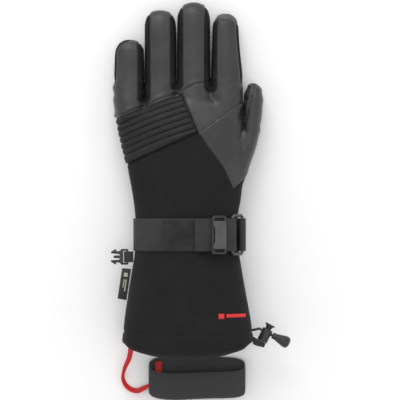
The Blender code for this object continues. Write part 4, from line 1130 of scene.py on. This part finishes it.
def sew_along(line, pitch=STITCH_PITCH, from_above=True):
    """Places for stitches along a line in plan, dropped onto the shell: (point, along, out)."""
    steps = [np.hypot(*(b - a)) for a, b in zip(line, line[1:])]
    total = np.cumsum([0] + steps)
    flat = np.array(line)
    places = []
    for at in np.arange(pitch / 2, total[-1], pitch):
        here = [np.interp(at, total, flat[:, k]) for k in (0, 1)]
        ahead = [np.interp(at + 0.5, total, flat[:, k]) for k in (0, 1)]
        behind = [np.interp(at - 0.5, total, flat[:, k]) for k in (0, 1)]
        start = Vector((*here, 120.0 if from_above else -30.0))
        hit, out, _, _ = surface.ray_cast(start, Vector((0, 0, -1.0 if from_above else 1.0)))
        if hit is None or abs(out.z) < 0.25 or (from_above and hit.z < 12):
            continue
        if out.z < 0 and from_above:
            out = -out
        way = Vector((ahead[0] - behind[0], ahead[1] - behind[1], 0))
        places.append((hit + out * STITCH_LIFT, (way - out * way.dot(out)).normalized(), out))
    return places


def sewn(name, places, length=STITCH_LENGTH, width=THREAD):
    """A row of stitches as one plain mesh, made by the stitch tree."""
    row = make_mesh(name, [place[0] for place in places], [])
    for title, column in (("along", 1), ("out", 2)):
        data = row.data.attributes.new(title, "FLOAT_VECTOR", "POINT").data
        data.foreach_set("vector", [value for place in places for value in place[column]])
    maker = row.modifiers.new("stitches", "NODES")
    maker.node_group = stitch_tree
    names = {item.name: item.identifier for item in stitch_tree.interface.items_tree}
    maker[names["Stitch length"]] = length * MM
    maker[names["Thread width"]] = width * MM
    maker[names["Thread"]] = thread_black
    row.update_tag()
    apply_modifiers(row)
    row.data.shade_smooth()
    keep_rest(row.data)
    return row


def owner_of(point):
    """The finger that a stitch lies on, or the hand."""
    for name, (left, right) in LANES.items():
        if left < point.x < right and point.y > CUT_Y[name]:
            return name
    return "hand"


places = []
reach = FOURCHETTE + 1.3
for (gap_x, crotch), _ in FOURCHETTE_LINES:
    turn = [(gap_x + reach * math.cos(a), crotch + reach * math.sin(a))
            for a in (math.radians(d) for d in range(180, 361, 15))]
    places += sew_along([np.array(p) for p in ([(gap_x - reach, 132.0)] + turn + [(gap_x + reach, 132.0)])])
places += sew_along(beside(FINGER_STRIP[1:], 0.95), 2.3)
places += sew_along(beside(FINGER_STRIP[1:], 3.0), 2.3)
places += sew_along(beside(((-5.4, 49.4), (9.9, 15.3), (21.6, -0.5), (33.3, -16.2), (42.3, -34.9)), 1.6))
places += sew_along(beside(((42.3, -34.9), (54, -24.3)), 1.6))
places += sew_along(beside(INDEX_OVERLAP[1:4], -1.3))
places += sew_along(beside(((25.2, 118.4), (30, 119.0), (36, 118.6), (41, 117.6), (45.4, 115.6)), -2.6), 2.2)
groups = {}
for place in places:
    groups.setdefault(owner_of(place[0]), []).append(place)
edge = [np.array(p, float) for p in (*PATCH_OUTLINE, PATCH_OUTLINE[0])]
patch_row = [(point + Vector((0, 0, -0.9)), along, -out if out.z > 0 else out)
             for point, along, out in sew_along([e * 0.95 for e in edge], from_above=False)]
groups["hand"] += patch_row
for name, group in groups.items():
    fit(sewn(name + "_stitches", group), (), finger=None if name == "hand" else name)


# The cut edge of the thumb-side leather, where it laps over the index panel and is sewn down. A thin
# lighter strip laid along it is a painted highlight, the light that the raised edge catches.
# A lighter leather for the strip along the overlap's edge: painted highlight.
painted_highlight_edge = leather("painted_highlight_leather", (0.08, 0.08, 0.08), (0.13, 0.13, 0.13), (0.16, 0.16, 0.16), 0.6)
upper_row, lower_row, under_row, deep_row = [], [], [], []
edge_line = rounded_line(INDEX_OVERLAP[1:4], 3)
for k, point in enumerate(edge_line):
    way = edge_line[min(k + 1, len(edge_line) - 1)] - edge_line[max(k - 1, 0)]
    way = np.array((way[1], -way[0])) / np.hypot(*way)
    for row, along, lift in ((upper_row, -0.1, 0.16), (lower_row, 0.5, 0.16), (under_row, -0.1, -0.3),
                             (deep_row, 0.5, -0.3)):
        hit, out, _, _ = surface.ray_cast(Vector((*(point + way * along), 120.0)), Vector((0, 0, -1)))
        row.append(hit + out * lift)
# The thin strip that carries the painted highlight along the edge.
painted_edge_strip = closed_grid("overlap_cut_edge", [upper_row, lower_row], [under_row, deep_row], painted_highlight_edge)
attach(painted_edge_strip, "hand")


# The wrist closure. A 30 mm polyester webbing strap is sewn down over the back of the wrist; its tail
# goes through a plastic ring, back over itself, and is held by a touch-and-close patch and a slider
# buckle with a lever.
strap_webbing = weave_cloth("strap_webbing", (0.01, 0.01, 0.01), (0.034, 0.034, 0.035), 0.65, "X", 330.0)
tab_webbing = weave_cloth("tab_webbing", (0.01, 0.01, 0.01), (0.03, 0.03, 0.03), 0.65, "Y", 330.0)
hook_loop = cloth("hook_and_loop_pile", (0.014, 0.014, 0.014), (0.04, 0.04, 0.041), 0.85, 300.0, 0.5, 0.1)
wrist_strap = finished_copy("wrist_strap", strap_webbing, 0.35)
finished_copy("loop_patch", hook_loop, 0.2)
finished_copy("hook_patch", hook_loop, 0.2, "strap_tail")
strap_tail = finished_copy("strap_tail", strap_webbing, 0.35, "strap_tail")
finished_copy("ring_tab", tab_webbing, 0.35)


def moulding(name, dark, light, roughness, grain):
    """Injection-moulded acetal: an even fine-grained surface, its tone and gloss varying a little at random.
    """
    made, start = new_material(name)
    place = rest_place(start)
    spots = noise(place, grain, 2.0)
    tone = noise(place, 120.0, 3.0).smooth(0.3, 0.7).mix(dark, light)
    return finish_material(made, tone, roughness + 0.12 * noise(place, 260.0, 3.0), [(spots, 0.12, 0.0001)])


grey_acetal = moulding("grey_acetal", (0.05, 0.05, 0.052), (0.068, 0.068, 0.07), 0.36, 2400.0)
black_acetal = moulding("black_acetal", (0.014, 0.014, 0.015), (0.022, 0.022, 0.023), 0.34, 2600.0)
finished_copy("strap_ring", grey_acetal, 0.25, "strap_ring")
finished_copy("buckle_frame", black_acetal, 0.3, "strap_tail")
finished_copy("buckle_lever", grey_acetal, 0.55, "buckle_lever", segments=3)
strap_surface = BVHTree.FromObject(strap_tail, bpy.context.evaluated_depsgraph_get())
under_strap = BVHTree.FromObject(wrist_strap, bpy.context.evaluated_depsgraph_get())


def onto(tree, line, pitch):
    """Stitch places along a line in plan on another surface than the shell, given in millimetres."""
    steps = [math.dist(a, b) for a, b in zip(line, line[1:])]
    total = np.cumsum([0] + steps)
    flat = np.array(line, float)
    places = []
    for at in np.arange(pitch / 2, total[-1], pitch):
        here, ahead = ([np.interp(at + step, total, flat[:, k]) for k in (0, 1)] for step in (-0.01, 0.4))
        hit, out, _, _ = tree.ray_cast(Vector((*here, 120.0)) * MM, Vector((0, 0, -1)))
        if hit is not None and out.z > 0.2:
            way = Vector((ahead[0] - here[0], ahead[1] - here[1], 0))
            places.append((hit / MM, (way - out * way.dot(out)).normalized(), out))
    return places


tail_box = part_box("strap_tail")
tail_left = tail_box[0][0] / MM
low_y, high_y = tail_box[0][1] / MM + 2.2, tail_box[1][1] / MM - 2.2
places = onto(strap_surface, [(tail_left + 1.8, low_y), (tail_left + 1.8, high_y), (tail_left + 11.5, high_y),
                              (tail_left + 11.5, low_y), (tail_left + 1.8, low_y)], 1.9)
for step in range(1, 5):
    row_y = low_y + (high_y - low_y) * step / 5
    places += onto(strap_surface, [(tail_left + 2.6, row_y), (tail_left + 10.8, row_y)], 1.9)
tail_stitches = sewn("strap_tail_stitches", places, 1.4, 0.4)
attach(tail_stitches, "strap_tail")
strap_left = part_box("wrist_strap")[0][0] / MM
places = []
for x_place in (strap_left + 4.0, strap_left + 7.0):
    places += onto(under_strap, [(x_place, low_y), (x_place, high_y)], 1.9)
for y_place in (low_y, high_y):
    places += onto(under_strap, [(strap_left + 7.0, y_place), (tail_left - 3.0, y_place)], 2.3)
strap_stitches = sewn("wrist_strap_stitches", places, 1.5, 0.4)
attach(strap_stitches, "hand")


# The clip that holds the pair of gloves together, on a webbing loop in the side seam, and the woven
# satin label below it, sewn into the same seam by its upper corner.
finished_copy("glove_clip", black_acetal, 0.3, "glove_clip")
finished_copy("clip_tab", tab_webbing, 0.3)
label_satin = weave_cloth("label_satin", (0.008, 0.008, 0.008), (0.02, 0.02, 0.02), 0.38, "Y", 700.0)
finished_copy("side_label", label_satin, 0.12, "side_label")
cream_thread = weave_cloth("label_cream_thread", (0.45, 0.42, 0.3), (0.62, 0.58, 0.44), 0.5, "Y", 900.0)
label_top = Vector((-54.2, -106.9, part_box("side_label")[1][2] / MM))
label_down = Vector((-4.0, -27.3, 0)).normalized()
label_across = Vector((label_down.y, -label_down.x, 0))


def label_mark(name, down, up, left, right):
    """A woven block on the label, given along and across it."""
    corners = [[label_top + label_down * (down + (up - down) * r / 4)
                + label_across * (left + (right - left) * c / 2) for c in range(3)] for r in range(5)]
    raised = [[point + Vector((0, 0, 0.09)) for point in row] for row in corners]
    sunk = [[point - Vector((0, 0, 0.1)) for point in row] for row in corners]
    mark = closed_grid(name, raised, sunk, cream_thread)
    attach(mark, "side_label")


label_mark("label_mark_wide", 3.6, 7.0, -1.6, 1.6)
label_mark("label_mark_line", 9.6, 20.0, -1.5, -0.5)
label_mark("label_mark_thin_line", 9.6, 17.0, 0.4, 1.2)


# The printed mark on the cuff: a plain red bar in two lengths, screen printed on the softshell.
red_print, red_start = new_material("red_screen_print", roughness=0.45)
red_tone = noise(rest_place(red_start), 500.0, 3.0).mix((0.55, 0.012, 0.01), (0.72, 0.02, 0.016))
finish_material(red_print, red_tone)


def printed_bar(name, left, right, middle_y, height):
    """A bar of ink on the shell, given by its ends and its middle in plan."""
    top, bottom = [], []
    for x_place in np.linspace(left, right, 20):
        upper, lower = [], []
        for y_place in np.linspace(middle_y - height / 2, middle_y + height / 2, 4):
            hit, out, _, _ = surface.ray_cast(Vector((x_place, y_place, 120.0)), Vector((0, 0, -1)))
            upper.append(hit + out * 0.12)
            lower.append(hit - out * 0.15)
        top.append(upper)
        bottom.append(lower)
    bar = closed_grid(name, top, bottom, red_print)
    bar.data.shade_smooth()
    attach(bar, "hand")


printed_bar("printed_bar_short", 28.2, 33.2, -148.0, 4.6)
printed_bar("printed_bar_long", 35.2, 52.5, -147.6, 3.0)


# The cuff's drawcord, an elastic cord in the hem channel, with its spring lock on a webbing foot and a
# tapered moulded pull on the end.
cord_cover, cord_start = new_material("braided_cord_cover", roughness=0.6)
cord_place = rest_place(cord_start)
braid = cord_place.node("ShaderNodeTexChecker", {"Vector": cord_place, "Scale": 1600.0}, output=1)
braid_tone = braid.mix((0.01, 0.01, 0.01), (0.035, 0.035, 0.036))
finish_material(cord_cover, braid_tone, None, [(braid, 0.4, 0.0002)])
finished_copy("drawcord", cord_cover, 0.05, angle=60)
TAB_ROWS = (((59.2, -167.4), (59.2, -174.4)), ((64.2, -170.4), (62.6, -175.9)),
            ((70.7, -173.8), (69.0, -177.4)))
TAB_HEIGHT = 29.8
TAB_THICKNESS = 1.1
rows = [[Vector((*(np.array(a) + (np.array(b) - np.array(a)) * k / 4), TAB_HEIGHT)) for k in range(5)]
        for a, b in TAB_ROWS]
half_tab = Vector((0, 0, TAB_THICKNESS / 2))
lock_tab = closed_grid("lock_tab_webbing", [[p + half_tab for p in row] for row in rows],
                       [[p - half_tab for p in row] for row in rows], tab_webbing)
fit(lock_tab, ["lock_tab"])
finished_copy("cord_lock_body", black_acetal, 0.3)
finished_copy("cord_lock_button", black_acetal, 0.3, "cord_lock_button")
finished_copy("cord_pull", black_acetal, 0.4, angle=50, segments=3)
spring_steel, steel_start = new_material("spring_steel", metallic=1.0)
drawn = noise(rest_place(steel_start), 900.0, 3.0)
finish_material(spring_steel, drawn.mix((0.42, 0.42, 0.43), (0.6, 0.6, 0.61)), 0.24 + 0.14 * drawn)
spring = finished_copy("cord_lock_spring", spring_steel, 0.02, angle=60)
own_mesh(spring)
